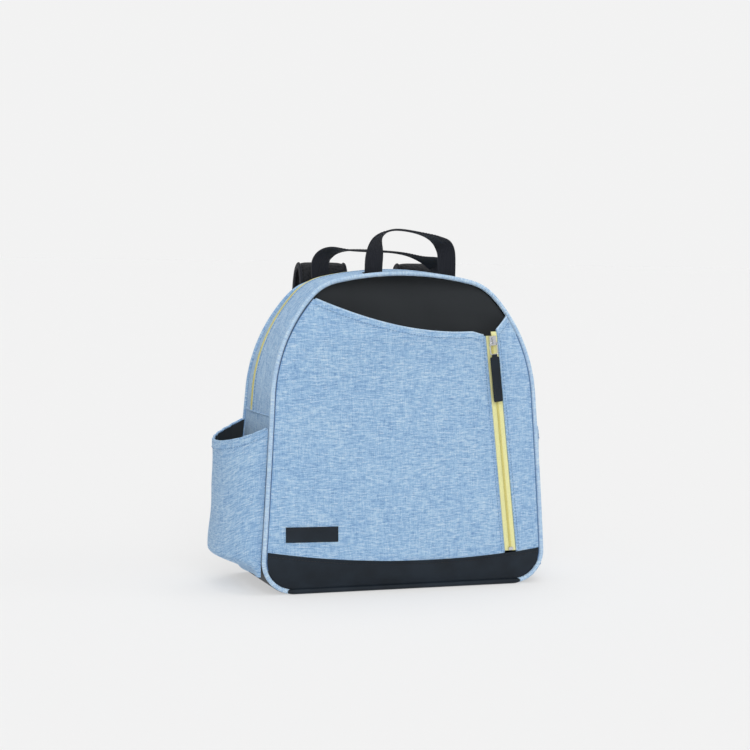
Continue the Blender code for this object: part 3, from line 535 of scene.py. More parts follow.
@dataclass(frozen=True)
class Webbing:
    """Ribbed webbing or tape: colour, rib and pick spacing in metres, depth of the ribs."""

    name: str
    color: Color
    rib: float
    pick: float
    depth: float
    shine: float = 0.3

    def build(self) -> bpy.types.Material:
        """Returns: the material."""
        bench = Bench(self.name)
        u, v = bench.cut()
        ribs = bench.math("ABSOLUTE", bench.math("SINE", bench.math("MULTIPLY", u, math.pi / self.rib)))
        skew = bench.math("ADD", v, bench.math("MULTIPLY", bench.math("PINGPONG", u, self.rib), 0.7))
        picks = bench.math("ABSOLUTE", bench.math("SINE", bench.math("MULTIPLY", skew, math.pi / self.pick)))
        height = bench.math("MULTIPLY", ribs, bench.math("ADD", 0.45, bench.math("MULTIPLY", picks, 0.55)))
        fuzz = bench.noise(bench.place(), 900.0, 3.0)
        # the colour follows the rib height and the yarn fuzz: the grooves between ribs are painted darker as
        # painted shade, and the fuzz is the yarn's own uneven tone
        shade = bench.math("ADD", bench.math("MULTIPLY", height, 0.6), bench.math("MULTIPLY", fuzz, 0.4))
        low = tuple(c * 0.72 for c in self.color)
        high = tuple(min(1.0, c * 1.18) for c in self.color)
        bench.bump(height, self.depth, 1.0)
        bench.bump(fuzz, 0.0001, 0.5)
        bench.surface(Base_Color=bench.ramp(shade, [(0.1, low), (0.8, high)]), Roughness=0.72)
        bench.surface(Specular_IOR_Level=self.shine, Sheen_Weight=0.08)
        return bench.material


@dataclass(frozen=True)
class SpacerMesh:
    """Breathable mesh: colour and the spacing of its holes."""

    name: str = "spacer_mesh"
    color: Color = (0.016, 0.017, 0.020)
    spacing: float = 0.0031

    def build(self) -> bpy.types.Material:
        """Returns: the material."""
        bench = Bench(self.name)
        place = bench.place()
        hole = bench.cells(place, 1.0 / self.spacing, "F1")
        yarn = bench.noise(place, 1400.0, 2.0)
        bench.bump(hole, 0.0011, 1.0)
        bench.bump(yarn, 0.0002, 0.5)
        # the hole centres are painted four times darker than the yarn: painted shade in the holes
        dark = tuple(c * 0.25 for c in self.color)
        bench.surface(Base_Color=bench.ramp(hole, [(0.12, dark), (0.34, self.color)]), Roughness=0.85)
        bench.surface(Specular_IOR_Level=0.25, Sheen_Weight=0.1)
        return bench.material


@dataclass(frozen=True)
class Solid:
    """Metal, plastic, thread or coil: colour, roughness, metallic, and how fine and deep its texture is."""

    name: str
    color: Color
    roughness: float
    metallic: float = 0.0
    texture: float = 700.0
    depth: float = 0.00003

    def build(self) -> bpy.types.Material:
        """Returns: the material."""
        bench = Bench(self.name)
        grain = bench.noise(bench.place(), self.texture, 4.0)
        low = tuple(c * 0.92 for c in self.color)
        rough = bench.math("ADD", self.roughness - 0.04, bench.math("MULTIPLY", grain, 0.08))
        bench.bump(grain, self.depth, 0.6)
        bench.surface(Base_Color=bench.ramp(grain, [(0.3, low), (0.7, self.color)]), Roughness=rough)
        bench.surface(Metallic=self.metallic)
        return bench.material


class Finish(Enum):
    """Every finish on the bag."""

    LINEN = Linen()
    # a paler copy of the linen for the front piping and the opening folds: painted highlight where their
    # rolled edges catch the light
    PIPING = Linen(
        "piping_linen",
        tones=((0.300, 0.470, 0.710), (0.400, 0.575, 0.790), (0.510, 0.680, 0.850), (0.700, 0.810, 0.900))
    )
    LEATHER = Leather("smooth_leather", (0.0100, 0.0160, 0.0240), 0.50, 0.0009, 0.00010, 0.22)
    PEBBLED = Leather("pebbled_leather", (0.0022, 0.0030, 0.0042), 0.36, 0.0044, 0.00200, 0.20)
    WEBBING = Webbing("navy_webbing", (0.0075, 0.0095, 0.0160), 0.0024, 0.0013, 0.0005)
    TAPE = Webbing("lemon_tape", (0.860, 0.830, 0.410), 0.0009, 0.0007, 0.0002)
    LINING = Webbing("black_lining", (0.0130, 0.0140, 0.0170), 0.0008, 0.0008, 0.0002)
    MESH = SpacerMesh()
    COIL = Solid("lemon_coil", (0.780, 0.710, 0.260), 0.50)
    NICKEL = Solid("nickel", (0.660, 0.665, 0.680), 0.24, 1.0)
    PLASTIC = Solid("black_plastic", (0.0150, 0.0155, 0.0170), 0.42)
    DARK_THREAD = Solid("black_thread", (0.0100, 0.0110, 0.0140), 0.60, 0.0, 2000.0)
    BLUE_THREAD = Solid("blue_thread", (0.105, 0.215, 0.420), 0.65, 0.0, 2000.0)

    def material(self) -> bpy.types.Material:
        """Returns: the finish's material, made once."""
        return bpy.data.materials.get(self.value.name) or self.value.build()


def dress(
    obj: bpy.types.Object,
    finish: Finish,
    slot: str,
    body: Optional[str] = "bag",
    nodes: Sequence[str] = (),
    lining: Optional[Finish] = None,
) -> bpy.types.Object:
    """Finishes a piece and fastens it to its body.

    Args: obj; finish; slot: not used; body: None to leave it unfastened;
    nodes: the CAD nodes it stands for; lining: the finish of its inner face.
    Returns: obj.
    """
    mesh = obj.data
    mesh.materials.append(finish.material())
    inner = mesh.attributes.get("lining_face")
    if inner is not None and lining is not None:
        mesh.materials.append(lining.material())
        values = np.zeros(len(mesh.polygons), np.int32)
        inner.data.foreach_get("value", values)
        mesh.polygons.foreach_set("material_index", values)
    if inner is not None:
        mesh.attributes.remove(mesh.attributes["lining_face"])
    if body is not None:
        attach(obj, body)
    if nodes:
        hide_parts(*nodes)
    LOG.info("%s: %d faces, on %s", obj.name, len(mesh.polygons), body)
    return obj


def sew(
    name: str,
    path: Array,
    normals: Array,
    finish: Finish = Finish.BLUE_THREAD,
    slot: str = "blue_fabric",
    body: str = "bag",
    place: Optional[Matrix] = None,
    stitch: Stitch = Stitch(),
) -> None:
    """Sews a row of stitches.

    Args: name; path; normals; finish, slot and body, as for dress; place: the frame that path is in; stitch.
    """
    row = stitch.row(name, path, normals)
    if place is not None:
        row.data.transform(place)
    dress(row, finish, slot, body)


def declare_sheet(
    obj: bpy.types.Object, flat: Tuple[float, float], area: float, rests_on: Sequence[str]
) -> None:
    """Works out a sewn panel's area unless it is a mere tape, and keeps nothing. Args: obj: not used; flat:
    its cut's size; area; rests_on: not used.
    """
    if min(flat) < 0.0105:
        return
    area = min(area, flat[0] * flat[1])


def grid_extent(outer: Array) -> Tuple[Tuple[float, float], float]:
    """Args: a grid of points. Returns: ((width, length), area) of the cloth laid flat."""
    width = np.linalg.norm(np.diff(outer, axis=1), axis=2).sum(axis=1).max()
    length = np.linalg.norm(np.diff(outer, axis=0), axis=2).sum(axis=0).max()
    a = outer[1:, 1:] - outer[:-1, :-1]
    b = outer[1:, :-1] - outer[:-1, 1:]
    return (round(float(width), 4), round(float(length), 4)), float(
        np.linalg.norm(np.cross(a, b), axis=2).sum() / 2
    )


# The bag's form


@dataclass(frozen=True)
class Form:
    """The sizes that every panel shares, in metres and degrees."""

    gap: float = 0.0003
    height: float = 0.400
    half_width: float = 0.187
    depth: float = 0.170
    bottom_z: float = 0.0035
    corner_r: float = 0.0385
    side_lean: float = 3.35
    crown_r: float = 0.400
    crown_half: float = 13.0
    shoulder_r: float = 0.065
    shoulder_end: float = 42.0
    front_lean: float = 0.025
    rear_lean: float = 0.038
    rear_inset: float = 0.004
    belly: float = 0.006
    belly_from: float = 0.060
    belly_full: float = 0.235
    cloth: float = 0.0016
    piping_r: float = 0.0030
    base_top: float = 0.048
    zip_y: float = -0.0905
    zip_top_x: float = 0.1090
    zip_top: float = 0.322
    zip_bottom: float = 0.046
    zip_slope: float = 0.115
    tape_w: float = 0.0075
    divider_setback: float = 0.0025
    divider_sag: float = 0.016
    mouth_ends: Tuple[float, float] = (0.3655, 0.3240)
    seam_foot: float = 0.030
    fan_centre: float = 0.46
    band_low_x: float = 0.030
    band_low_z: float = 0.0375
    band_curve: float = 0.35
    samples: int = 1200


class Shell:
    """The outline that front and rear share, and the surfaces on it.

    A place on the outline is t, from 0 at the bottom centre to 6 at the top centre; below 0 is the left side.
    """

    def __init__(self, form: Form) -> None:
        """Args: form: the sizes."""
        self.form = form
        f = form
        lean, end = math.radians(f.side_lean), math.radians(f.shoulder_end)
        crown_from = math.radians(90.0 - f.crown_half)
        ray = lambda angle: np.array([math.cos(angle), math.sin(angle)])
        corner = np.array([f.half_width - f.corner_r / math.cos(lean), f.bottom_z + f.corner_r])
        crown = np.array([0.0, f.height - f.crown_r])
        shoulder = crown + (f.crown_r - f.shoulder_r) * ray(crown_from)
        join = shoulder + f.shoulder_r * ray(end)
        side_from = corner + f.corner_r * ray(lean)
        self.flank_r = (side_from - join) @ ray(lean) / (1.0 - ray(end) @ ray(lean))
        self.flank = join - self.flank_r * ray(end)
        side_to = self.flank + self.flank_r * ray(lean)
        share = np.linspace(0.0, 1.0, f.samples, endpoint=False)[:, None]
        line = lambda a, b, out: (mix(a, b, share), np.broadcast_to(out, (f.samples, 2)))

        def arc(centre: Array, radius: float, low: float, high: float) -> Tuple[Array, Array]:
            angle = mix(low, high, share)
            out = np.concatenate([np.cos(angle), np.sin(angle)], axis=1)
            return centre + radius * out, out

        parts = [
            line(np.array([0.0, f.bottom_z]), np.array([corner[0], f.bottom_z]), np.array([0.0, -1.0])),
            arc(corner, f.corner_r, -math.pi / 2, lean),
            line(side_from, side_to, ray(lean)),
            arc(self.flank, self.flank_r, lean, end),
            arc(shoulder, f.shoulder_r, end, crown_from),
            arc(crown, f.crown_r, crown_from, math.pi / 2),
        ]
        self.points = np.concatenate([*(p for p, _ in parts), [[0.0, f.height]]])
        self.outs = np.concatenate([*(o for _, o in parts), [[0.0, 1.0]]])
        self.t = np.linspace(0.0, 6.0, len(self.points))
        self.s = lengths(self.points)
        self.rise = slice(f.samples, None)

    def at(self, t: Array, inset: Array = 0.0) -> Tuple[Array, Array]:
        """Args: t; inset: how far inwards. Returns: x and z."""
        t = np.asarray(t, float)
        size, sign = np.abs(t), np.where(t < 0, -1.0, 1.0)
        x, z = (np.interp(size, self.t, self.points[:, k]) for k in (0, 1))
        nx, nz = (np.interp(size, self.t, self.outs[:, k]) for k in (0, 1))
        return sign * (x - inset * nx), z - inset * nz

    def t_at(self, z: Array) -> Array:
        """Args: height. Returns: the place on the side there."""
        return np.interp(z, self.points[self.rise, 1], self.t[self.rise])

    def width_at(self, z: Array) -> Array:
        """Args: height. Returns: the half width there."""
        return np.interp(z, self.points[self.rise, 1], self.points[self.rise, 0])

    def even(self, t_from: float, t_to: float, step: float) -> Array:
        """Args: two places, the step in metres. Returns: evenly spaced places from one to the other."""
        low, high = (np.interp(abs(t), self.t, self.s) * np.sign(t) for t in (t_from, t_to))
        s = np.linspace(low, high, max(3, int(abs(high - low) / step)))
        return np.sign(s) * np.interp(np.abs(s), self.s, self.t)

    def crossing(self, height: Curve, inset: float, gap: float) -> float:
        """Args: height: a curve z of x; inset of the outline; gap above it. Returns: where the two meet."""
        x, z = self.at(self.t[self.rise], inset)
        return float(self.t[self.rise][np.argmax(z > height(x) + gap)])

    def front_y(self, z: Array) -> Array:
        """Args: height. Returns: y of the front piping's plane."""
        return -self.form.depth / 2 + self.form.front_lean * (z / self.form.height) ** 2

    def rear_y(self, z: Array) -> Array:
        """Args: height. Returns: y of the rear piping's plane."""
        return self.form.depth / 2 - self.form.rear_lean * z / self.form.height

    def rear_inset(self, z: Array) -> Array:
        """Args: height. Returns: how much smaller the outline is at the rear."""
        f = self.form
        return f.rear_inset * smooth((z - f.base_top) / (f.belly_full - f.base_top))

    def skin(self, t: Array, share: Array, lift: Array = 0.0) -> Array:
        """Args: t; share: 0 at the front piping, 1 at the rear; lift: outwards. Returns: points."""
        f = self.form
        t, share = np.broadcast_arrays(np.asarray(t, float), np.asarray(share, float))
        _, z = self.at(t)
        belly = f.belly * smooth((z - f.belly_from) / (f.belly_full - f.belly_from))
        swell = f.bottom_z * (1.0 - smooth((z - f.bottom_z) / (f.base_top - f.bottom_z)))
        x, z = self.at(t, share * self.rear_inset(z) - belly * np.sin(math.pi * share) - swell - lift)
        clear = f.piping_r + f.gap
        return np.stack([x, mix(self.front_y(z) + clear, self.rear_y(z) - clear, share), z], axis=-1)

    def skin_out(self, t: Array, share: Array) -> Array:
        """Args: as skin. Returns: the outward unit direction."""
        return unit(self.skin(t, share, 0.002) - self.skin(t, share))

    def zip_x(self, z: Array) -> Array:
        """Args: height. Returns: x of the front zip's line."""
        return self.form.zip_top_x + (self.form.zip_top - z) * self.form.zip_slope

    def crown(self, x: Array, z: Array) -> Array:
        """Args: x, z. Returns: 1 on the centre line, 0 at the outline."""
        return np.maximum(0.0, 1.0 - (x / np.maximum(self.width_at(z), 1e-4)) ** 2)

    def front(self, x: Array, z: Array, out: Array = 0.0) -> Array:
        """Args: x, z; out: forwards. Returns: points on the front's outer face."""
        f = self.form
        width, line, flat = self.width_at(z), self.zip_x(z), f.tape_w + 2 * f.gap
        left = -width + (x + width) * (line + width) / (line - flat + width)
        right = width - (width - x) * (width - line) / np.maximum(width - line - flat, 1e-4)
        held_x = np.where(x < line - flat, left, np.where(x > line + flat, right, line))
        held = np.clip(z, f.zip_bottom, f.zip_top)
        full = (self.front_y(held) - f.zip_y) / self.crown(self.zip_x(held), held)
        bulge = full * smooth((z - f.bottom_z) / (f.zip_bottom - f.bottom_z))
        return np.stack(
            np.broadcast_arrays(x, self.front_y(z) - bulge * self.crown(held_x, z) - out, z), axis=-1
        )

    def front_out(self, x: Array, z: Array) -> Array:
        """Args: x, z. Returns: the front's outward unit direction."""
        step = 1e-3
        dx = self.front(x + step, z) - self.front(x - step, z)
        dz = self.front(x, z + step) - self.front(x, z - step)
        return unit(np.cross(dx, dz))

    def divider(self, x: Array, z: Array, out: Array = 0.0) -> Array:
        """Args: x, z, out. Returns: points on the wall behind the racket pocket."""
        f = self.form
        sag = f.divider_sag * self.crown(x, z) * smooth((z - f.bottom_z) / f.base_top)
        return np.stack(np.broadcast_arrays(x, self.front_y(z) + f.divider_setback + sag - out, z), axis=-1)

    def rear(self, x: Array, z: Array, out: Array = 0.0) -> Array:
        """Args: x, z; out: backwards. Returns: points on the back's outer face."""
        return np.stack(np.broadcast_arrays(x, self.rear_y(z) + out, z), axis=-1)

    def rear_place(self, x: float, z: float, out: float) -> Matrix:
        """Args: x, z, out. Returns: a frame on the back, with Z up along it and Y out of the bag."""
        point = Vector((x, float(self.rear_y(z)) + out, z))
        return Matrix.Translation(point) @ Matrix.Rotation(
            math.atan(self.form.rear_lean / self.form.height), 4, "X"
        )


# The front: panels, band, badge and divider


@dataclass(frozen=True)
class FrontSizes:
    """The opening's line, its hem, the band and the badge."""

    opening_left_z: float = 0.3697
    dip: Tuple[float, float] = (-0.020, 0.318)
    opening_right_z: float = 0.3272
    drop: float = 0.0060
    flap_rise: float = 0.019
    hem_depth: float = 0.0075
    hem_rise: float = 0.0007
    roll_r: float = 0.0014
    badge: Tuple[float, float] = (0.066, 0.019)
    badge_at: Tuple[float, float] = (-0.1272, 0.0752)
    badge_t: float = 0.0014
    band_corner_t: float = 1.5
    band_stitch_drop: float = 0.0042
    roll_end_t: float = 1.22
    roll_taper_t: float = 0.25
    roll_thin: float = 0.0022
    roll_swell: float = 0.00125


class FrontPocket:
    """The racket pocket's front panels with their hems, the leather band, the badge and the divider."""

    def __init__(self, shell: Shell, sizes: FrontSizes) -> None:
        """Args: shell; sizes."""
        self.shell = shell
        self.sizes = sizes
        self.clear = shell.form.piping_r + shell.form.gap

    def band_seam(self, x: Array) -> Array:
        """Args: x. Returns: the height of the band's seam."""
        f = self.shell.form
        return f.band_low_z + f.band_curve * (x - f.band_low_x) ** 2

    def rim(self, side: int, t_from: float, t_to: float) -> Curve:
        """Args: side, two places. Returns: that stretch of the outline as a curve of (x, z)."""

        def edge(v: Array) -> Array:
            x, z = self.shell.at(mix(t_from, t_to, v), self.clear)
            return np.stack([side * x, z], axis=-1)

        return edge

    @staticmethod
    def fit(curve: Curve, start: Array, end: Array) -> Curve:
        """Args: curve, its new ends. Returns: the curve, bent a little to meet them."""
        a = start - curve(np.zeros(1))[0]
        b = end - curve(np.ones(1))[0]
        return lambda u: curve(u) + mix(a, b, np.asarray(u)[:, None])

    def edges(self, side: int) -> Tuple[Curve, Curve, Curve, Curve]:
        """Args: side of the zip. Returns: the panel's bottom, top, left and right edges."""
        f, s, shell = self.shell.form, self.sizes, self.shell
        offset = side * (f.tape_w + 2 * f.gap)
        seam_z = self.band_seam(shell.zip_x(f.zip_bottom) + offset) + f.gap
        low = shell.crossing(lambda x: self.band_seam(side * x), self.clear, f.gap)
        top_z = f.zip_top if side < 0 else f.zip_top + s.drop
        end_z = s.opening_left_z if side < 0 else f.zip_top + s.drop + s.flap_rise
        outer = self.rim(side, low, float(shell.t_at(end_z)))

        def beside(v: Array) -> Array:
            z = mix(seam_z, top_z, v)
            return np.stack([shell.zip_x(z) + offset, z], axis=-1)

        one, nought = np.ones(1), np.zeros(1)
        if side < 0:
            right_end = np.array([beside(one)[0, 0], s.opening_right_z])
            start, dip = outer(one)[0], np.array(s.dip)

            def top(u: Array) -> Array:
                w = np.asarray(u)[:, None]
                arc = mix(mix(start, dip, w), mix(dip, right_end, w), w)
                return arc - np.array([0.0, right_end[1] - f.zip_top]) * smooth((w - 0.9) / 0.1)

            left, right = outer, beside
        else:
            left, right = beside, outer
            top = lambda u: mix(left(one)[0], right(one)[0], np.asarray(u)[:, None])
        x_from, x_to = left(nought)[0, 0], right(nought)[0, 0]

        def seam(u: Array) -> Array:
            x = mix(x_from, x_to, np.asarray(u))
            return np.stack([x, self.band_seam(x) + f.gap], axis=-1)

        bottom = self.fit(seam, left(nought)[0], right(nought)[0])
        return bottom, self.fit(top, left(one)[0], right(one)[0]), left, right

    def patch(self, edges: Tuple[Curve, Curve, Curve, Curve], columns: int, rows: int) -> Array:
        """Args: four edges; how many points each way. Returns: a grid of (x, z)."""
        bottom, top, left, right = edges
        u, v = np.linspace(0, 1, columns), np.linspace(0, 1, rows)
        uu, vv = u[None, :, None], v[:, None, None]
        sides = mix(left(v)[:, None], right(v)[:, None], uu)
        ends = mix(bottom(u)[None], top(u)[None], vv)
        c = [edge(at)[0] for edge in (bottom, top) for at in (np.zeros(1), np.ones(1))]
        return sides + ends - mix(mix(c[0], c[1], uu), mix(c[2], c[3], uu), vv)

    def relief(self, x: Array, z: Array) -> Array:
        """Args: x, z. Returns: how far the filled pocket's cloth waves outwards there."""
        edge = smooth(self.shell.crown(x, z) / 0.35)
        near_zip = smooth((np.abs(x - self.shell.zip_x(z)) - 0.012) / 0.04)
        waves = 0.0011 * ripple(x, z, 0.15, 3) + 0.0004 * ripple(x, z, 0.05, 8)
        pucker = 0.00022 * ripple(x, z, 0.016, 5) * (1.0 - edge)
        return waves * edge * near_zip + pucker * near_zip

    def build(self) -> None:
        """Builds every piece of the front."""
        f, shell = self.shell.form, self.shell
        for side, word in ((-1, "left"), (1, "right")):
            edges = self.edges(side)
            grid = self.patch(edges, 100 if side < 0 else 22, 110)
            x, z = grid[..., 0], grid[..., 1]
            outer = shell.front(x, z, self.relief(x, z))
            panel = cloth(f"front_cloth_{word}", outer, f.cloth, BEHIND_FRONT, cut=grid)
            dress(panel, Finish.LINEN, "blue_fabric", nodes=[f"front_panel_{word}"], lining=Finish.LINING)
            declare_sheet(panel, *grid_extent(outer), ["front_piping", f"pocket_zip_tape_{word}"])
            self.hem(side, word, edges)
            self.zip_seam(side, word, edges)
        self.band()
        self.badge()
        self.back_wall()

    def hem(self, side: int, word: str, edges: Tuple[Curve, Curve, Curve, Curve]) -> None:
        """The folded top edge with its row of stitches. Args: side, word, the panel's edges."""
        s, f, shell = self.sizes, self.shell.form, self.shell
        u = np.linspace(0.012, 0.985, 130 if side < 0 else 26)
        line = edges[1](u)
        ahead = unit(np.gradient(line, axis=0))
        down = np.stack([ahead[:, 1], -ahead[:, 0]], axis=-1)
        depth = np.linspace(0.0, s.hem_depth, 7)
        grid = line[None] + down[None] * depth[:, None, None]
        rise = s.hem_rise * np.minimum(1.0, (s.hem_depth - depth) / 0.0012 + 0.15)[:, None]
        x, z = grid[..., 0], grid[..., 1]
        outer = shell.front(x, z, self.relief(x, z) + rise + 0.0001)
        strip = cloth(f"opening_hem_{word}", outer, 0.0007, BEHIND_FRONT, cut=grid)
        dress(strip, Finish.LINEN, "blue_fabric")
        declare_sheet(strip, *grid_extent(outer), [f"front_cloth_{word}"])
        roll = shell.front(
            line[:, 0], line[:, 1] + s.roll_r * 0.6, self.relief(line[:, 0], line[:, 1]) - f.cloth * 0.4
        )
        fold = tube(f"opening_fold_{word}", roll, s.roll_r, ALONG_Y, 12)
        # the paler linen paints a highlight along the rolled fold
        dress(fold, Finish.PIPING, "blue_fabric", nodes=[f"opening_binding_{word}"])
        at = line + down * (s.hem_depth - 0.0018)
        points = shell.front(at[:, 0], at[:, 1], self.relief(at[:, 0], at[:, 1]) + s.hem_rise + 0.0003)
        sew(f"opening_stitches_{word}", points, shell.front_out(at[:, 0], at[:, 1]))

    def zip_seam(self, side: int, word: str, edges: Tuple[Curve, Curve, Curve, Curve]) -> None:
        """The fold and stitches beside the zip. Args: side, word, the panel's edges."""
        shell = self.shell
        v = np.linspace(0.004, 0.99, 160)
        beside = edges[3](v) if side < 0 else edges[2](v)
        fold = shell.front(beside[:, 0] + side * 0.0009, beside[:, 1], 0.0002)
        edge = tube(f"zip_fold_{word}", fold, 0.0010, ALONG_Y, 10)
        dress(edge, Finish.LINEN, "blue_fabric")
        x = beside[:, 0] + side * 0.0042
        points = shell.front(x, beside[:, 1], self.relief(x, beside[:, 1]) + 0.0001)
        sew(f"zip_stitches_{word}", points, shell.front_out(x, beside[:, 1]))

    def band(self) -> None:
        """The leather band along the foot, its folded top edge and its stitches."""
        s, f, shell = self.sizes, self.shell.form, self.shell
        left_t = shell.crossing(lambda x: self.band_seam(-x), self.clear, -f.gap)
        right_t = shell.crossing(self.band_seam, self.clear, -f.gap)
        left, right = self.rim(-1, s.band_corner_t, left_t), self.rim(1, s.band_corner_t, right_t)
        one = np.ones(1)

        def bottom(u: Array) -> Array:
            places = shell.even(-s.band_corner_t, s.band_corner_t, 0.001)
            t = np.interp(u, np.linspace(0, 1, len(places)), places)
            return np.stack(shell.at(t, self.clear), axis=-1)

        def seam(u: Array) -> Array:
            x = mix(left(one)[0, 0], right(one)[0, 0], np.asarray(u))
            return np.stack([x, self.band_seam(x) - f.gap], axis=-1)

        edges = (bottom, self.fit(seam, left(one)[0], right(one)[0]), left, right)
        grid = self.patch(edges, 130, 26)
        x, z = grid[..., 0], grid[..., 1]
        top = np.linspace(0, 1, 26)[:, None]
        waves = 0.0005 * ripple(x, z, 0.05, 11) * np.sin(math.pi * top) * smooth(shell.crown(x, z) / 0.2)
        outer = shell.front(x, z, waves + 0.0006 * smooth((top - 0.1) / 0.3))
        band = cloth("front_band_leather", outer, f.cloth, BEHIND_FRONT, cut=grid)
        dress(band, Finish.LEATHER, "black_leather", nodes=["front_band"])
        declare_sheet(band, *grid_extent(outer), ["front_piping", "front_cloth_left", "front_cloth_right"])
        u = np.linspace(0.004, 0.996, 260)
        line = edges[1](u)
        fold = shell.front(line[:, 0], line[:, 1] - 0.0006, 0.0002)
        dress(tube("band_fold", fold, 0.0011, ALONG_Y, 10), Finish.LEATHER, "black_leather")
        t = shell.even(-s.roll_end_t, s.roll_end_t, 0.002)
        x, z = shell.at(t)
        taper = smooth((s.roll_end_t - np.abs(t)) / s.roll_taper_t)
        foot = np.stack([x, shell.front_y(z) - 0.0004, z], axis=-1)
        rolled = tube("band_foot", foot, s.roll_thin + s.roll_swell * taper, ALONG_Y, 16)
        dress(rolled, Finish.LEATHER, "black_leather")
        x, z = line[:, 0], line[:, 1] - s.band_stitch_drop
        points = shell.front(x, z, 0.0008)
        sew("band_stitches", points, shell.front_out(x, z), Finish.DARK_THREAD, "black_leather")

    def badge(self) -> None:
        """The blank leather patch, with a pressed border."""
        s, shell = self.sizes, self.shell
        (w, h), (cx, cz) = s.badge, s.badge_at
        u, v = np.meshgrid(np.linspace(-1, 1, 67), np.linspace(-1, 1, 27))
        x, z = cx + u * w / 2, cz + v * h / 2
        edge = np.minimum((1 - np.abs(u)) * w / 2, (1 - np.abs(v)) * h / 2)
        out = s.badge_t * (0.45 + 0.55 * np.sqrt(np.clip(edge / 0.0008, 0.0, 1.0)))
        out = out - 0.00035 * np.exp(-(((edge - 0.0021) / 0.00045) ** 2)) + self.relief(x, z) + 0.0003
        outer = shell.front(x, z, out)
        patch = cloth("badge_leather", outer, 0.0011, BEHIND_FRONT, cut=np.stack([x, z], axis=-1))
        dress(patch, Finish.LEATHER, "black_leather", nodes=["blank_badge"])
        declare_sheet(patch, *grid_extent(outer), ["front_cloth_left"])

    def back_wall(self) -> None:
        """The pebbled wall behind the racket pocket, slack between its seams."""
        shell = self.shell
        loop = shell.even(-6.0, 6.0, 0.0045)[:-1]
        x0, z0 = shell.at(loop, self.clear)
        share = np.linspace(1.0, 0.02, 60)[:, None]
        middle = shell.form.height * shell.form.fan_centre
        x, z = x0[None] * share, mix(middle, z0[None], share)
        slack = smooth((1.0 - share) / 0.22)
        waves = (0.0026 * ripple(x, z, 0.11, 4) + 0.0011 * ripple(x, z, 0.045, 9)) * slack
        pucker = 0.0006 * ripple(x, z, 0.02, 13) * smooth((share - 0.8) / 0.2)
        outer = shell.divider(x, z, waves + pucker - 0.0016 * slack)
        wall = cloth(
            "divider_leather", outer, shell.form.cloth, (0.0, 0.2, 0.2), closed=True, cut=np.stack([x, z], -1)
        )
        # the outer face looks at the mouth and has the lining; the pebbles are on the one behind it
        dress(wall, Finish.LINING, "pebbled_leather", nodes=["pocket_divider"], lining=Finish.PEBBLED)
        flat = (2 * shell.form.half_width, shell.form.height)
        declare_sheet(wall, flat, grid_extent(outer)[1] * 1.01, ["front_piping"])


# Zips and their pulls


@dataclass(frozen=True)
class ZipSizes:
    """Tape, coil, slider and pull sizes."""

    tape_t: float = 0.0010
    coil_w: float = 0.0036
    coil_t: float = 0.0016
    pitch: float = 0.0016
    slider: Tuple[float, float, float] = (0.0090, 0.0037, 0.0120)
    slider_start: float = 0.0060
    bridge_rise: float = 0.0070
    bridge_r: float = 0.0007
    puller_r: float = 0.0008
    puller_half: float = 0.0050
    puller_l: float = 0.0155
    puller_drop: float = 0.0020
    tab_w: float = 0.0120
    tab_t: float = 0.0020
    neck_w: float = 0.0064
    ring_r: float = 0.0026
    pocket_tab: float = 0.061
    main_tab: float = 0.040
    main_share: float = 0.62
    main_end_z: float = 0.222
    main_slider_deg: float = 14.0
    stop_h: float = 0.0040


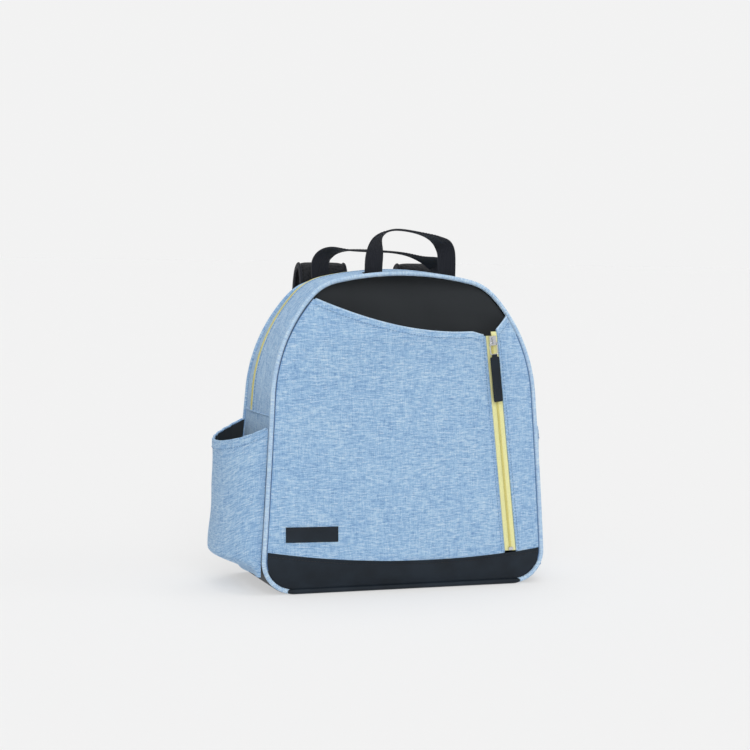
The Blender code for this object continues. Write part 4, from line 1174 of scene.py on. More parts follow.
class Zips:
    """Both zips: tapes, coils, wire pullers and leather tabs."""

    def __init__(self, shell: Shell, front: FrontPocket, sizes: ZipSizes) -> None:
        """Args: shell; front; sizes."""
        self.shell, self.front, self.sizes = shell, front, sizes

    def coil(self, name: str, path: Array, normals: Array, node: str) -> None:
        """A closed coil of two rows of teeth. Args: name; path; normals; the CAD chain it stands for."""
        s = self.sizes
        run = lengths(path)
        at = np.arange(s.pitch / 2, run[-1], s.pitch / 2)
        pick = lambda values: np.stack([np.interp(at, run, values[:, k]) for k in range(3)], axis=1)
        centres, up, ahead = pick(path), unit(pick(normals)), unit(pick(tangents(path)))
        across = unit(np.cross(up, ahead))
        side = np.where(np.arange(len(at)) % 2 == 0, 1.0, -1.0)[:, None]
        centres = centres + across * side * s.coil_w * 0.20 + up * s.coil_t * 0.42
        axes = np.stack([across * s.coil_w * 0.30, ahead * s.pitch * 0.36, up * s.coil_t * 0.5], axis=1)
        verts, faces = bead(7, 8, 3.2)
        dress(scatter(name, verts, faces, centres, axes), Finish.COIL, "zip_yellow", nodes=[node])

    def pocket(self) -> None:
        """The front zip, straight down the front."""
        f, s, shell = self.shell.form, self.sizes, self.shell
        foot = float(self.front.band_seam(shell.zip_x(f.zip_bottom))) + 2 * f.gap
        z = np.linspace(foot + 0.002, f.zip_top, 150)
        for side, word in ((-1, "left"), (1, "right")):
            w = np.linspace(f.gap, f.tape_w, 7)[:, None]
            tall = z if side < 0 else np.linspace(z[0], f.zip_top + 0.0055, 150)
            x = shell.zip_x(tall)[None] + side * w
            outer = shell.front(x, np.broadcast_to(tall, x.shape), 0.00012 * np.sin(w / f.tape_w * 9.0))
            cut = np.stack(np.broadcast_arrays(w, tall[None]), axis=-1)
            tape = cloth(f"front_tape_{word}", outer, s.tape_t, BEHIND_FRONT, cut=cut)
            dress(tape, Finish.TAPE, "zip_yellow", nodes=[f"pocket_zip_tape_{word}"])
            declare_sheet(tape, *grid_extent(outer), [f"front_cloth_{word}"])
        z = np.linspace(foot + s.stop_h + 0.003, f.zip_top - 0.001, 150)
        line = shell.front(shell.zip_x(z), z)
        self.coil("front_coil", line, shell.front_out(shell.zip_x(z), z), "pocket_zip_chain")

    def main(self) -> None:
        """The main zip, over the top from flank to flank."""
        f, s, shell = self.shell.form, self.sizes, self.shell
        end = float(shell.t_at(s.main_end_z))
        t = np.concatenate([shell.even(end, 6.0, 0.003), -shell.even(end, 6.0, 0.003)[-2::-1]])
        depth = np.linalg.norm(shell.skin(t, 1.0) - shell.skin(t, 0.0), axis=-1)
        for sign, word in ((-1, "front"), (1, "rear")):
            w = np.linspace(f.gap, f.tape_w, 7)[:, None] * sign
            share = s.main_share + w / depth[None]
            lift = 0.00012 * np.sin(np.abs(w) / f.tape_w * 9.0)
            outer = shell.skin(np.broadcast_to(t, share.shape), share, lift)
            run = lengths(shell.skin(t, s.main_share))
            cut = np.stack(np.broadcast_arrays(w, run[None]), axis=-1)
            tape = cloth(f"main_tape_{word}", outer, s.tape_t, INSIDE, cut=cut)
            dress(tape, Finish.TAPE, "zip_yellow", nodes=[f"main_zip_tape_{word}"])
            declare_sheet(tape, *grid_extent(outer), [f"{word}_gusset_cloth"])
        line = shell.skin(t, s.main_share)[2:-2]
        self.coil("main_coil", line, shell.skin_out(t, s.main_share)[2:-2], "main_zip_chain")

    def frame_of(self, origin: Vector, inwards: Vector, up: Vector) -> Matrix:
        """Args: origin, two directions. Returns: a frame with X across, Y inwards, Z up the zip."""
        axes = Matrix((inwards.cross(up), inwards, up)).transposed().to_4x4()
        return Matrix.Translation(origin) @ axes

    def pocket_frame(self) -> Matrix:
        """Returns: the front slider's frame."""
        f = self.shell.form
        z = f.zip_top - self.sizes.slider_start
        up = Vector((-f.zip_slope, 0.0, 1.0)).normalized()
        return self.frame_of(Vector((self.shell.zip_x(z), f.zip_y, z)), Vector((0.0, 1.0, 0.0)), up)

    def main_frame(self) -> Matrix:
        """Returns: the main slider's frame on the right flank."""
        f = self.shell.form
        angle = math.radians(self.sizes.main_slider_deg)
        t = 3.0 + (self.sizes.main_slider_deg - f.side_lean) / (f.shoulder_end - f.side_lean)
        out = Vector((math.cos(angle), 0.0, math.sin(angle)))
        up = Vector((-math.sin(angle), 0.0, math.cos(angle)))
        return self.frame_of(Vector(self.shell.skin(t, self.sizes.main_share)), -out, up)

    def pull(self, prefix: str, place: Matrix, tab: float) -> None:
        """The wire puller and the leather tab. Args: prefix; the slider's frame; the tab's length."""
        s, gap = self.sizes, self.shell.form.gap
        pin = Vector((0.0, -(gap + s.slider[1] + s.bridge_rise - s.bridge_r) / 2, -s.puller_drop))
        place = place @ Matrix.Translation(pin)
        angle = np.linspace(0, 2 * math.pi, 96, endpoint=False)
        c, n = np.cos(angle), np.sin(angle)
        power = 0.34
        half = s.puller_l / 2
        path = np.stack([
            np.sign(c) * np.abs(c) ** power * s.puller_half, c * 0,
            -half + np.sign(n) * np.abs(n) ** power * half
        ], 1)
        wire = tube(f"{prefix}_wire", path, s.puller_r, ALONG_Y, 12, closed=True)
        wire.data.transform(place)
        dress(wire, Finish.NICKEL, "slider_metal", f"{prefix}_puller", [f"{prefix}_puller"])
        place = place @ Matrix.Translation((0.0, 0.0, -s.puller_l))
        self.tab(prefix, place, tab)

    def tab(self, prefix: str, place: Matrix, length: float) -> None:
        """A doubled leather tab with stitched edges and an oval pressed in. Args: prefix; frame; length."""
        s = self.sizes
        z = np.linspace(0.0, -length, 110)[:, None]
        u = np.linspace(-1.0, 1.0, 27)[None, :]
        neck = smooth((-z - s.ring_r) / 0.0016)
        foot = np.sqrt(np.clip(1.0 - np.clip((-z - length + 0.0016) / 0.0016, 0, 1) ** 2 * 0.3, 0, 1))
        half = mix(s.neck_w / 2, s.tab_w / 2, neck) * foot
        x = u * half
        edge = np.minimum(half - np.abs(x), np.minimum(-z + 0.003, length + z) * np.ones_like(x))
        rise = s.tab_t / 2 * (0.55 + 0.45 * np.sqrt(np.clip(edge / 0.0009, 0, 1)))
        rise = rise + (s.ring_r - s.tab_t / 2) * np.exp(-((z / 0.0032) ** 2)) * 0.62
        oval = np.sqrt((x / 0.0031) ** 2 + ((z + length - 0.013) / 0.0065) ** 2)
        face = rise - 0.00045 * np.exp(-(((oval - 1.0) / 0.16) ** 2))
        grid = np.stack(np.broadcast_arrays(x, -face, z), axis=-1)
        hind = np.stack(np.broadcast_arrays(x, rise, z), axis=-1)
        rows, columns = x.shape
        count = rows * columns
        index = np.arange(count).reshape(rows, columns)
        quads = np.stack([index[:-1, :-1], index[:-1, 1:], index[1:, 1:], index[1:, :-1]], -1).reshape(-1, 4)
        around = np.concatenate([index[0], index[1:, -1], index[-1, -2::-1], index[-2::-1, 0]])
        rim = np.stack([around[1:], around[:-1], around[:-1] + count, around[1:] + count], -1)
        faces = np.concatenate([quads[:, ::-1], quads + count, rim[:, ::-1]])
        verts = np.concatenate([grid.reshape(-1, 3), hind.reshape(-1, 3)])
        cut = np.concatenate([grid[..., [0, 2]].reshape(-1, 2)] * 2)
        leaf = make_object(f"{prefix}_tab_leather", verts, faces.tolist(), cut)
        leaf.data.transform(place)
        body = f"{prefix}_pull_tab"
        dress(leaf, Finish.LEATHER, "black_leather", body, [body])
        down = np.linspace(0.006, length - 0.0018, 60)
        for sign, word in ((-1, "a"), (1, "b")):
            path = np.stack(
                [sign * (s.tab_w / 2 - 0.0016) + down * 0, -s.tab_t / 2 - 0.00005 + down * 0, -down], 1
            )
            row = Stitch(0.0022, 0.0009, 0.00022).row(
                f"{prefix}_tab_stitches_{word}", path, np.tile([0.0, -1.0, 0.0], (60, 1))
            )
            row.data.transform(place)
            dress(row, Finish.DARK_THREAD, "black_leather", body)

    def build(self) -> None:
        """Builds both zips and both pulls."""
        self.pocket()
        self.main()
        self.pull("pocket", self.pocket_frame(), self.sizes.pocket_tab)
        self.pull("main", self.main_frame(), self.sizes.main_tab)


# The walls: piping, gussets, side panels and base


class Walls:
    """Both pipings, the gussets round the main compartment, the side panels and the base."""

    def __init__(self, shell: Shell, zips: ZipSizes) -> None:
        """Args: shell; zips: where the main zip runs."""
        self.shell, self.zips = shell, zips

    def relief(self, t: Array, share: Array, seed: int, size: float) -> Array:
        """Args: t, share; seed; size of the waves. Returns: how far the wall waves outwards."""
        points = self.shell.skin(t, share)
        run = np.interp(np.abs(t), self.shell.t, self.shell.s) * np.sign(t)
        slack = np.sin(math.pi * np.clip(share, 0, 1)) ** 0.7
        pucker = 0.0003 * ripple(run, points[..., 1], 0.018, seed + 3) * (1.0 - slack)
        return size * ripple(run, points[..., 1], 0.09, seed) * slack + pucker

    def piping(self) -> None:
        """Both pipings and the seam lines beside them."""
        shell, f = self.shell, self.shell.form
        t = shell.even(-6.0, 6.0, 0.0025)[:-1]
        x, z = shell.at(t)
        run = np.interp(np.abs(t), shell.t, shell.s) * np.sign(t)
        radius = f.piping_r * (0.965 + 0.03 * ripple(run, run * 0, 0.02, 2))
        path = np.stack([x, shell.front_y(z), z], axis=-1)
        front = tube("front_piping_cloth", path, radius, ALONG_Y, 18, closed=True)
        # the front piping gets the paler linen, a painted highlight; the rear piping keeps the plain linen
        dress(front, Finish.PIPING, "blue_fabric", nodes=["front_piping"])
        x, z = shell.at(t, shell.rear_inset(z))
        path = np.stack([x, shell.rear_y(z), z], axis=-1)
        rear = tube("rear_piping_cloth", path, radius, ALONG_Y, 18, closed=True)
        dress(rear, Finish.LINEN, "blue_fabric", nodes=["rear_piping"])
        self.piping_seams(t)

    def piping_seams(self, t: Array) -> None:
        """The sunk seams on both sides of the front piping. Args: t: the places along the outline."""
        shell, f = self.shell, self.shell.form
        x, z = shell.at(t, f.piping_r + f.gap + 0.0002)
        inner = shell.front(x, z, 0.0003)
        outer = shell.skin(t, np.zeros_like(t), 0.0003)
        for word, line, tops in (("inner", inner, f.mouth_ends), ("outer", outer, (f.height, f.height))):
            for side, half, top in (("left", t < 0, tops[0]), ("right", t > 0, tops[1])):
                place = line[half & (z > f.seam_foot) & (z <= top)]
                seam = tube(f"piping_seam_{word}_{side}", place, 0.00055, ALONG_Y, 8)
                dress(seam, Finish.BLUE_THREAD, "blue_fabric")

    def wall(self, name: str, t: Array, finish: Finish, slot: str, node: str, thickness: float) -> None:
        """A stretch of wall from piping to piping. Args: name; places; finish; slot; CAD node; thickness."""
        share = np.linspace(0.0, 1.0, 46)[:, None]
        t = np.broadcast_to(t[None], (46, len(t)))
        share = np.broadcast_to(share, t.shape)
        lift = self.relief(t, share, 6, 0.0006) if slot == "blue_fabric" else 0.0
        outer = self.shell.skin(t, share, lift)
        piece = cloth(name, outer, thickness, INSIDE)
        dress(piece, finish, slot, nodes=[node], lining=Finish.LINING)
        declare_sheet(piece, *grid_extent(outer), ["front_piping", "rear_piping"])

    def strip(
        self, name: str, t: Array, low: Optional[float], high: Optional[float], node: str, seed: int
    ) -> None:
        """A gusset over the top. Args: name; places; its edges' distances from the zip; CAD node; seed."""
        shell, s = self.shell, self.zips
        depth = np.linalg.norm(shell.skin(t, 1.0) - shell.skin(t, 0.0), axis=-1)
        start = np.zeros_like(t) if low is None else s.main_share + low / depth
        end = np.ones_like(t) if high is None else s.main_share + high / depth
        v = np.linspace(0.0, 1.0, 30)[:, None]
        share = mix(start[None], end[None], v)
        places = np.broadcast_to(t, share.shape)
        near = smooth(np.minimum(np.abs(share - s.main_share) * depth[None] - shell.form.tape_w, 0.02) / 0.02)
        outer = shell.skin(places, share, self.relief(places, share, seed, 0.0008) * near)
        piece = cloth(name, outer, shell.form.cloth, INSIDE)
        dress(piece, Finish.LINEN, "blue_fabric", nodes=[node], lining=Finish.LINING)
        declare_sheet(piece, *grid_extent(outer), ["front_piping" if low is None else "rear_piping"])
        edge = -1 if low is None else 1
        for away, kind in ((0.0008, "fold"), (0.0040, "stitches")):
            at = s.main_share + edge * (shell.form.tape_w + 0.0003 + away) / depth
            line = shell.skin(t, at, 0.0001 if kind == "fold" else 0.0002)
            if kind == "stitches":
                sew(f"{name}_stitches", line, shell.skin_out(t, at))
                continue
            dress(tube(f"{name}_fold", line, 0.0009, ALONG_Y, 10), Finish.LINEN, "blue_fabric")

    def build(self) -> None:
        """Builds every wall piece."""
        shell, f, s = self.shell, self.shell.form, self.zips
        self.piping()
        base_t, end_t = float(shell.t_at(f.base_top)), float(shell.t_at(s.main_end_z))
        hair = 0.002
        self.wall(
            "base_leather", shell.even(-base_t, base_t, 0.004),
            Finish.LEATHER, "black_leather", "base_gusset", 0.002
        )
        for side, word in ((-1, "left"), (1, "right")):
            t = side * shell.even(base_t + hair, end_t - hair, 0.003)
            self.wall(f"side_cloth_{word}", t, Finish.LINEN, "blue_fabric", f"side_panel_{word}", f.cloth)
            for at, kind, lift in ((base_t, "base_seam", 0.0002), (end_t, "side_seam", 0.0002)):
                share = np.linspace(0.01, 0.99, 60)
                line = shell.skin(np.full(60, side * at), share, lift)
                finish, slot = (Finish.LEATHER, "black_leather") if kind == "base_seam" else (
                    Finish.LINEN, "blue_fabric"
                )
                dress(tube(f"{kind}_{word}", line, 0.0009, ALONG_Z, 8), finish, slot)
        over = shell.even(end_t + hair, 6.0, 0.003)
        t = np.concatenate([over, -over[-2::-1]])
        edge = f.tape_w + f.gap
        self.strip("front_gusset_cloth", t, None, -edge, "front_gusset", 2)
        self.strip("rear_gusset_cloth", t, edge, None, "rear_gusset", 7)


# Bottle pockets


@dataclass(frozen=True)
class PocketSizes:
    """A bottle pocket's seams, heights and hem."""

    front_share: float = 0.012
    rear_share: float = 0.960
    top_z: float = 0.207
    dip: float = 0.022
    foot_z: float = 0.022
    fold_z: float = 0.048
    foot_share: float = 0.10
    hem_depth: float = 0.011
    roll_r: float = 0.0015


class BottlePocket:
    """One bottle pocket: its cloth, folded hem, stitches and the folds at its foot."""

    def __init__(self, shell: Shell, sizes: PocketSizes, side: int, word: str, reach: float) -> None:
        """Args: shell; sizes; side; word; reach: how far it stands out."""
        self.shell, self.sizes, self.side, self.word, self.reach = shell, sizes, side, word, reach

    def top(self, turn: Array) -> Array:
        """Args: turn. Returns: the height of the top edge."""
        return self.sizes.top_z - self.sizes.dip * np.sin(math.pi * turn)

    def point(self, turn: Array, z: Array, lift: Array = 0.0) -> Array:
        """Args: turn: 0 front to 1 rear; z; lift. Returns: points on the pocket."""
        s, f = self.sizes, self.shell.form
        turn, z = np.broadcast_arrays(turn, z)
        share = mix(s.front_share, s.rear_share, (1.0 - np.cos(math.pi * turn)) / 2)
        foot = mix(s.foot_share, 1.0, smooth((z - s.foot_z) / (s.fold_z - s.foot_z)))
        wall = self.shell.skin(self.shell.t_at(np.maximum(z, f.bottom_z + f.corner_r)), share)
        bow = np.sin(math.pi * turn)
        x = wall[..., 0] + f.cloth + 2 * f.gap + (self.reach + lift) * bow * foot
        x = x + self.relief(turn, z) * smooth(bow / 0.3)
        return np.stack([self.side * x, wall[..., 1], z], axis=-1)

    def relief(self, turn: Array, z: Array) -> Array:
        """Args: turn, z. Returns: folds in the slack cloth."""
        full = min(1.0, self.reach / 0.03)
        waves = 0.0016 * full * ripple(turn * 0.16, z, 0.085, 4 if self.side < 0 else 15)
        below = smooth((0.075 - z) / 0.05)
        fan = np.sin(turn * 17.0 + (z - 0.03) * 40.0) * 0.0011 * below * full
        gathers = 0.0007 * np.sin(turn * 70.0 + 2.0 * np.sin(turn * 9.0)) * smooth(
            (z - self.top(turn) + 0.030) / 0.030
        )
        return waves + fan + gathers

    def build(self) -> None:
        """Builds the pocket."""
        s, f = self.sizes, self.shell.form
        turn = np.linspace(0.0, 1.0, 84)[None]
        v = np.linspace(0.0, 1.0, 92)[:, None] ** 0.9
        z = mix(s.foot_z, self.top(turn), v)
        outer = self.point(turn, z)
        piece = cloth(f"bottle_cloth_{self.word}", outer, f.cloth, (0.0, 0.0, 0.1))
        dress(piece, Finish.LINEN, "blue_fabric", nodes=[f"bottle_pocket_{self.word}"], lining=Finish.LINING)
        declare_sheet(piece, *grid_extent(outer), [f"side_panel_{self.word}", "front_piping"])
        turn = np.linspace(0.02, 0.98, 84)[None]
        depth = np.linspace(0.0, s.hem_depth, 9)[:, None]
        rise = 0.0009 * np.minimum(1.0, (s.hem_depth - depth) / 0.0015 + 0.1)
        outer = self.point(turn, self.top(turn) - depth + 0.0003)
        outer[..., 0] += self.side * rise
        hem = cloth(f"bottle_hem_{self.word}", outer, 0.0008, (0.0, 0.0, 0.1))
        dress(hem, Finish.LINEN, "blue_fabric")
        declare_sheet(hem, *grid_extent(outer), [f"bottle_cloth_{self.word}"])
        turn = np.linspace(0.02, 0.98, 120)
        roll = self.point(turn, self.top(turn) + s.roll_r * 0.7)
        roll[:, 0] -= self.side * f.cloth * 0.3
        made = tube(f"bottle_fold_{self.word}", roll, s.roll_r, ALONG_Z, 10)
        dress(made, Finish.LINEN, "blue_fabric", nodes=[f"pocket_hem_{self.word}"])
        line = self.point(turn, self.top(turn) - s.hem_depth + 0.0022)
        line[:, 0] += self.side * 0.0011
        sew(f"bottle_stitches_{self.word}", line, np.tile([float(self.side), 0.0, 0.0], (120, 1)))


# Padding blown up by cloth simulation


@dataclass(frozen=True)
class Padding:
    """How a padded piece is blown up: voxel size, pressure, frames and the most a point may move."""

    voxel: float
    pressure: float = 4.0
    frames: int = 20
    cap: float = 0.006

    def swell(self, obj: bpy.types.Object, held: Callable[[Array], Array]) -> None:
        """Remeshes obj, blows it up and smooths it.

        Args: obj: a closed mesh; held: from the points, how firmly each is held, 0 to 1.
        """
        self.apply(obj, "REMESH", mode="VOXEL", voxel_size=self.voxel)
        start = self.points(obj)
        group = obj.vertex_groups.new(name="held")
        for index, weight in enumerate(held(start)):
            group.add([index], float(weight), "REPLACE")
        step = obj.modifiers.new("Cloth", "CLOTH")
        step.settings.use_pressure = True
        step.settings.uniform_pressure_force = self.pressure
        step.settings.effector_weights.gravity = 0.0
        step.settings.vertex_group_mass = "held"
        step.settings.quality = 5
        step.settings.mass = 0.25
        scene = bpy.context.scene
        for frame in range(1, self.frames + 1):
            scene.frame_set(frame)
        graph = bpy.context.evaluated_depsgraph_get()
        moved = self.points(obj.evaluated_get(graph)) - start
        obj.modifiers.remove(step)
        scene.frame_set(1)
        far = np.linalg.norm(moved, axis=1, keepdims=True)
        moved = moved * np.minimum(1.0, self.cap / np.maximum(far, 1e-9))
        obj.data.vertices.foreach_set("co", (start + moved).ravel())
        self.apply(obj, "SMOOTH", factor=0.5, iterations=4)
        self.apply(obj, "SUBSURF", levels=1)
        obj.data.shade_smooth()

    @staticmethod
    def points(obj: bpy.types.Object) -> Array:
        """Args: obj. Returns: its points."""
        co = np.zeros(len(obj.data.vertices) * 3)
        obj.data.vertices.foreach_get("co", co)
        return co.reshape(-1, 3)

    @staticmethod
    def apply(obj: bpy.types.Object, kind: str, **settings: object) -> None:
        """Adds a modifier and applies it. Args: obj; kind; its settings."""
        step = obj.modifiers.new(kind.title(), kind)
        for key, value in settings.items():
            setattr(step, key, value)
        graph = bpy.context.evaluated_depsgraph_get()
        mesh = bpy.data.meshes.new_from_object(obj.evaluated_get(graph))
        old = obj.data
        obj.modifiers.remove(step)
        obj.data = mesh
        mesh.name = old.name
        bpy.data.meshes.remove(old)


def lay_on(obj: bpy.types.Object, points: Array, out: Array, lift: float) -> Array:
    """Moves points onto a mesh's face.

    Args: obj; points near it; out: the outward direction of each; lift above the face.
    Returns: the points on the face.
    """
    tree = BVHTree.FromPolygons([v.co for v in obj.data.vertices], [p.vertices[:] for p in obj.data.polygons])
    found = []
    for point, way in zip(points.reshape(-1, 3), out.reshape(-1, 3)):
        start, way = Vector(point) + Vector(way) * 0.03, Vector(way)
        hit = tree.ray_cast(start, -way, 0.06)[0]
        found.append((Vector(point) if hit is None else hit) + way * lift)
    return np.array(found).reshape(points.shape)


# The back


@dataclass(frozen=True)
class BackSizes:
    """Pad, yoke, wings and laptop sleeve."""

    pad_inset: float = 0.030
    pad_t: float = 0.012
    pad_z: Tuple[float, float] = (0.058, 0.340)
    yoke_half: float = 0.102
    yoke_z: Tuple[float, float] = (0.347, 0.373)
    yoke_t: float = 0.0020
    wing_x: float = 0.152
    wing: Tuple[float, float] = (0.030, 0.034)
    wing_z: float = 0.016
    webbing_t: float = 0.0016
    sleeve: Tuple[float, float, float] = (0.250, 0.034, 0.235)
    sleeve_foot: float = 0.028
    groove: float = 0.0045
    groove_w: float = 0.0050


class Back:
    """The back panel, its quilted pad, the straps' yoke, the webbing wings and the laptop sleeve."""

    def __init__(self, shell: Shell, sizes: BackSizes, padding: Padding) -> None:
        """Args: shell; sizes; padding."""
        self.shell, self.sizes, self.padding = shell, sizes, padding

    def disc(
        self, inset: float, rings: Array, z_range: Tuple[float, float], step: float
    ) -> Tuple[Array, Array]:
        """Args: inset; shares of the rings; z_range; step. Returns: x and z grids that fill the outline."""
        shell = self.shell
        loop = shell.even(-6.0, 6.0, step)[:-1]
        _, z = shell.at(loop)
        x, z = shell.at(loop, inset + shell.rear_inset(z))
        z = np.clip(z, *z_range)
        middle = shell.form.height * shell.form.fan_centre
        return x[None] * rings[:, None], mix(middle, z[None], rings[:, None])

    def panel(self) -> None:
        """The flat back panel."""
        f = self.shell.form
        x, z = self.disc(f.piping_r + f.gap, np.linspace(1.0, 0.02, 40), (0.0, f.height), 0.006)
        outer = self.shell.rear(x, z, 0.0)
        piece = cloth(
            "back_cloth", outer, f.cloth, (0.0, -0.2, 0.2), closed=True, cut=np.stack([x, z], axis=-1)
        )
        dress(piece, Finish.LINING, "black_lining", nodes=["back_panel"])
        declare_sheet(piece, (2 * f.half_width, f.height), grid_extent(outer)[1] * 1.01, ["rear_piping"])

    def pad(self) -> None:
        """The pad against the wearer's back: blown up, then quilted."""
        s, f, shell = self.sizes, self.shell.form, self.shell
        rings = np.concatenate([[0.985, 1.0], np.linspace(0.985, 0.02, 34)])
        x, z = self.disc(s.pad_inset, rings, s.pad_z, 0.006)
        out = np.full_like(x, s.pad_t * 0.72)
        out[0] = f.gap + 0.0012
        out[1] = s.pad_t * 0.35
        face = shell.rear(x, z, out)
        base = shell.rear(x[::-1], z[::-1], np.full_like(x, f.gap))
        grid = np.concatenate([base[:-1], face])
        rows, columns = grid.shape[:2]
        index = np.arange(rows * columns).reshape(rows, columns)
        wide = np.concatenate([index, index[:, :1]], axis=1)
        faces = np.stack(
            [wide[:-1, :-1], wide[:-1, 1:], wide[1:, 1:], wide[1:, :-1]], -1
        ).reshape(-1, 4).tolist()
        faces += [index[0][::-1].tolist(), index[-1].tolist()]
        pad = make_object("back_pad_quilt", grid.reshape(-1, 3), faces)
        self.outward(pad)

        def held(points: Array) -> Array:
            out = points[:, 1] - shell.rear_y(points[:, 2])
            return np.where(out < 0.004, 1.0, 0.0)

        self.padding.swell(pad, held)
        points = Padding.points(pad)
        out = points[:, 1] - shell.rear_y(points[:, 2])
        near = [np.abs(points[:, 0])] + [
            np.abs(points[:, 2] - z - 0.10 * np.abs(points[:, 0])) for z in self.rows()
        ]
        groove = np.max([np.exp(-((d / s.groove_w) ** 2)) for d in near], axis=0)
        points[:, 1] -= s.groove * groove * smooth((out - 0.003) / 0.005)
        low = shell.rear_y(points[:, 2]) + f.gap
        points[:, 1] = np.maximum(points[:, 1], low)
        pad.data.vertices.foreach_set("co", points.ravel())
        dress(pad, Finish.MESH, "black_mesh", nodes=["back_pad"])
        self.quilting(pad)

    @staticmethod
    def outward(obj: bpy.types.Object) -> None:
        """Turns a closed mesh's faces outwards. Args: obj."""
        work = bmesh.new()
        work.from_mesh(obj.data)
        bmesh.ops.recalc_face_normals(work, faces=work.faces)
        work.to_mesh(obj.data)
        work.free()

    @staticmethod
    def rows() -> Tuple[float, float]:
        """Returns: the heights of the pad's two cross channels."""
        return 0.140, 0.235

    def quilting(self, pad: bpy.types.Object) -> None:
        """Stitches along the pad's channels. Args: pad."""
        up = np.linspace(self.sizes.pad_z[0] + 0.008, self.sizes.pad_z[1] - 0.008, 120)
        lines = {"middle": (up * 0, up)}
        for word, z in zip(("low", "high"), self.rows()):
            half = float(self.shell.width_at(z)) - self.sizes.pad_inset - 0.010
            x = np.linspace(-half, half, 120)
            lines[word] = (x, z + 0.10 * np.abs(x))
        quilting = Stitch(0.0034, 0.0014, 0.0004)
        for word, (x, z) in lines.items():
            out = np.tile(ALONG_Y, (len(x), 1))
            path = lay_on(pad, self.shell.rear(x, z, 0.008), out, 0.0001)
            sew(f"pad_stitches_{word}", path, out, Finish.DARK_THREAD, "black_mesh", stitch=quilting)

    def yoke(self) -> None:
        """The leather yoke that the straps are sewn into, and its stitches."""
        s, f = self.sizes, self.shell.form
        low, high = s.yoke_z
        place = self.shell.rear_place(0.0, (low + high) / 2, f.gap)
        u, v = np.meshgrid(np.linspace(-1, 1, 110), np.linspace(-1, 1, 26))
        half = (high - low) / 2
        x, z = u * s.yoke_half, v * half
        edge = np.minimum((1 - np.abs(u)) * s.yoke_half, (1 - np.abs(v)) * half)
        y = s.yoke_t * (0.6 + 0.4 * np.sqrt(np.clip(edge / 0.0010, 0, 1)))
        y = y - 0.0003 * np.exp(-(((edge - 0.0035) / 0.0007) ** 2))
        piece = cloth("yoke_leather", np.stack([x, y, z], -1), 0.0011, (0.0, -1.0, 0.0))
        piece.data.transform(place)
        dress(piece, Finish.LEATHER, "black_leather", nodes=["strap_yoke"])
        declare_sheet(piece, (2 * s.yoke_half, high - low), 4 * s.yoke_half * half * 0.999, ["back_cloth"])
        for sign, word in ((-1, "low"), (1, "high")):
            x = np.linspace(-s.yoke_half + 0.004, s.yoke_half - 0.004, 100)
            path = np.stack([x, x * 0 + s.yoke_t - 0.0001, x * 0 + sign * (half - 0.0035)], axis=1)
            out = np.tile(ALONG_Y, (100, 1))
            sew(f"yoke_stitches_{word}", path, out, Finish.DARK_THREAD, "black_leather", place=place)

    def wings(self) -> None:
        """The webbing wings at the foot of the back, sewn with a crossed box."""
        s, f = self.sizes, self.shell.form
        w, h = s.wing
        for side, word in ((-1, "left"), (1, "right")):
            place = self.shell.rear_place(side * s.wing_x, s.wing_z, f.piping_r + f.gap)
            u, v = np.meshgrid(np.linspace(-w / 2, w / 2, 22), np.linspace(0, h, 26))
            y = s.webbing_t + 0.0002 * ripple(u, v, 0.03, 5)
            piece = cloth(f"wing_webbing_{word}", np.stack([u, y, v], -1), s.webbing_t, (0.0, -1.0, 0.0))
            piece.data.transform(place)
            dress(piece, Finish.WEBBING, "webbing_navy", nodes=[f"strap_wing_{word}"])
            a, b = w / 2 - 0.003, h - 0.004
            corners = np.array(
                [[-a, 0.003], [a, 0.003], [a, b], [-a, b], [-a, 0.003], [a, b], [a, 0.003], [-a, b]]
            )
            path = resample(corners, 0.0005)
            path = np.stack([path[:, 0], path[:, 0] * 0 + s.webbing_t + 0.0002, path[:, 1]], axis=1)
            out = np.tile(ALONG_Y, (len(path), 1))
            sew(f"wing_stitches_{word}", path, out, Finish.DARK_THREAD, "webbing_navy", place=place)

    def sleeve(self) -> None:
        """The laptop sleeve inside: a U of lining, its foot and a bound top edge."""
        s, f = self.sizes, self.shell.form
        w, d, h = s.sleeve
        back = f.cloth + 0.0015 + 3 * f.gap
        place = self.shell.rear_place(0.0, s.sleeve_foot, -back)
        a, r = w / 2, 0.008
        turn = np.linspace(0.0, math.pi / 2, 9)
        left = np.stack([-a + r - r * np.cos(turn), -d + r - r * np.sin(turn)], axis=1)
        right = np.stack([a - r + r * np.sin(turn), -d + r - r * np.cos(turn)], axis=1)
        plan = resample(np.concatenate([[[-a, -0.0016]], left, right, [[a, -0.0016]]]), 0.005)
        z = np.linspace(0.0, h, 44)[:, None]
        bow = 0.0025 * ripple(plan[None, :, 0], z, 0.12, 3) * smooth((-plan[None, :, 1] - 0.02) / 0.01)
        outer = np.stack(np.broadcast_arrays(plan[None, :, 0], plan[None, :, 1] + np.abs(bow), z), axis=-1)
        wall = cloth("sleeve_wall", outer, 0.0030, (0.0, 0.0, 0.1))
        wall.data.transform(place)
        dress(wall, Finish.LINING, "black_lining", nodes=["laptop_sleeve"])
        declare_sheet(wall, *grid_extent(outer), ["back_cloth"])
        x, y = np.meshgrid(np.linspace(-a + 0.004, a - 0.004, 30), np.linspace(-d + 0.004, -0.003, 6))
        foot = cloth("sleeve_foot", np.stack([x, y, x * 0 + 0.0035], -1), 0.0030, (0.0, 0.0, -1.0))
        foot.data.transform(place)
        dress(foot, Finish.LINING, "black_lining")
        line = np.stack([plan[:, 0] * 0.992, plan[:, 1] + 0.0012, plan[:, 0] * 0 + h], axis=1)
        rim = tube("sleeve_binding", line, 0.0022, ALONG_Z, 10)
        rim.data.transform(place)
        dress(rim, Finish.WEBBING, "black_lining")

    def build(self) -> None:
        """Builds every piece of the back."""
        self.panel()
        self.pad()
        self.yoke()
        self.wings()
        self.sleeve()


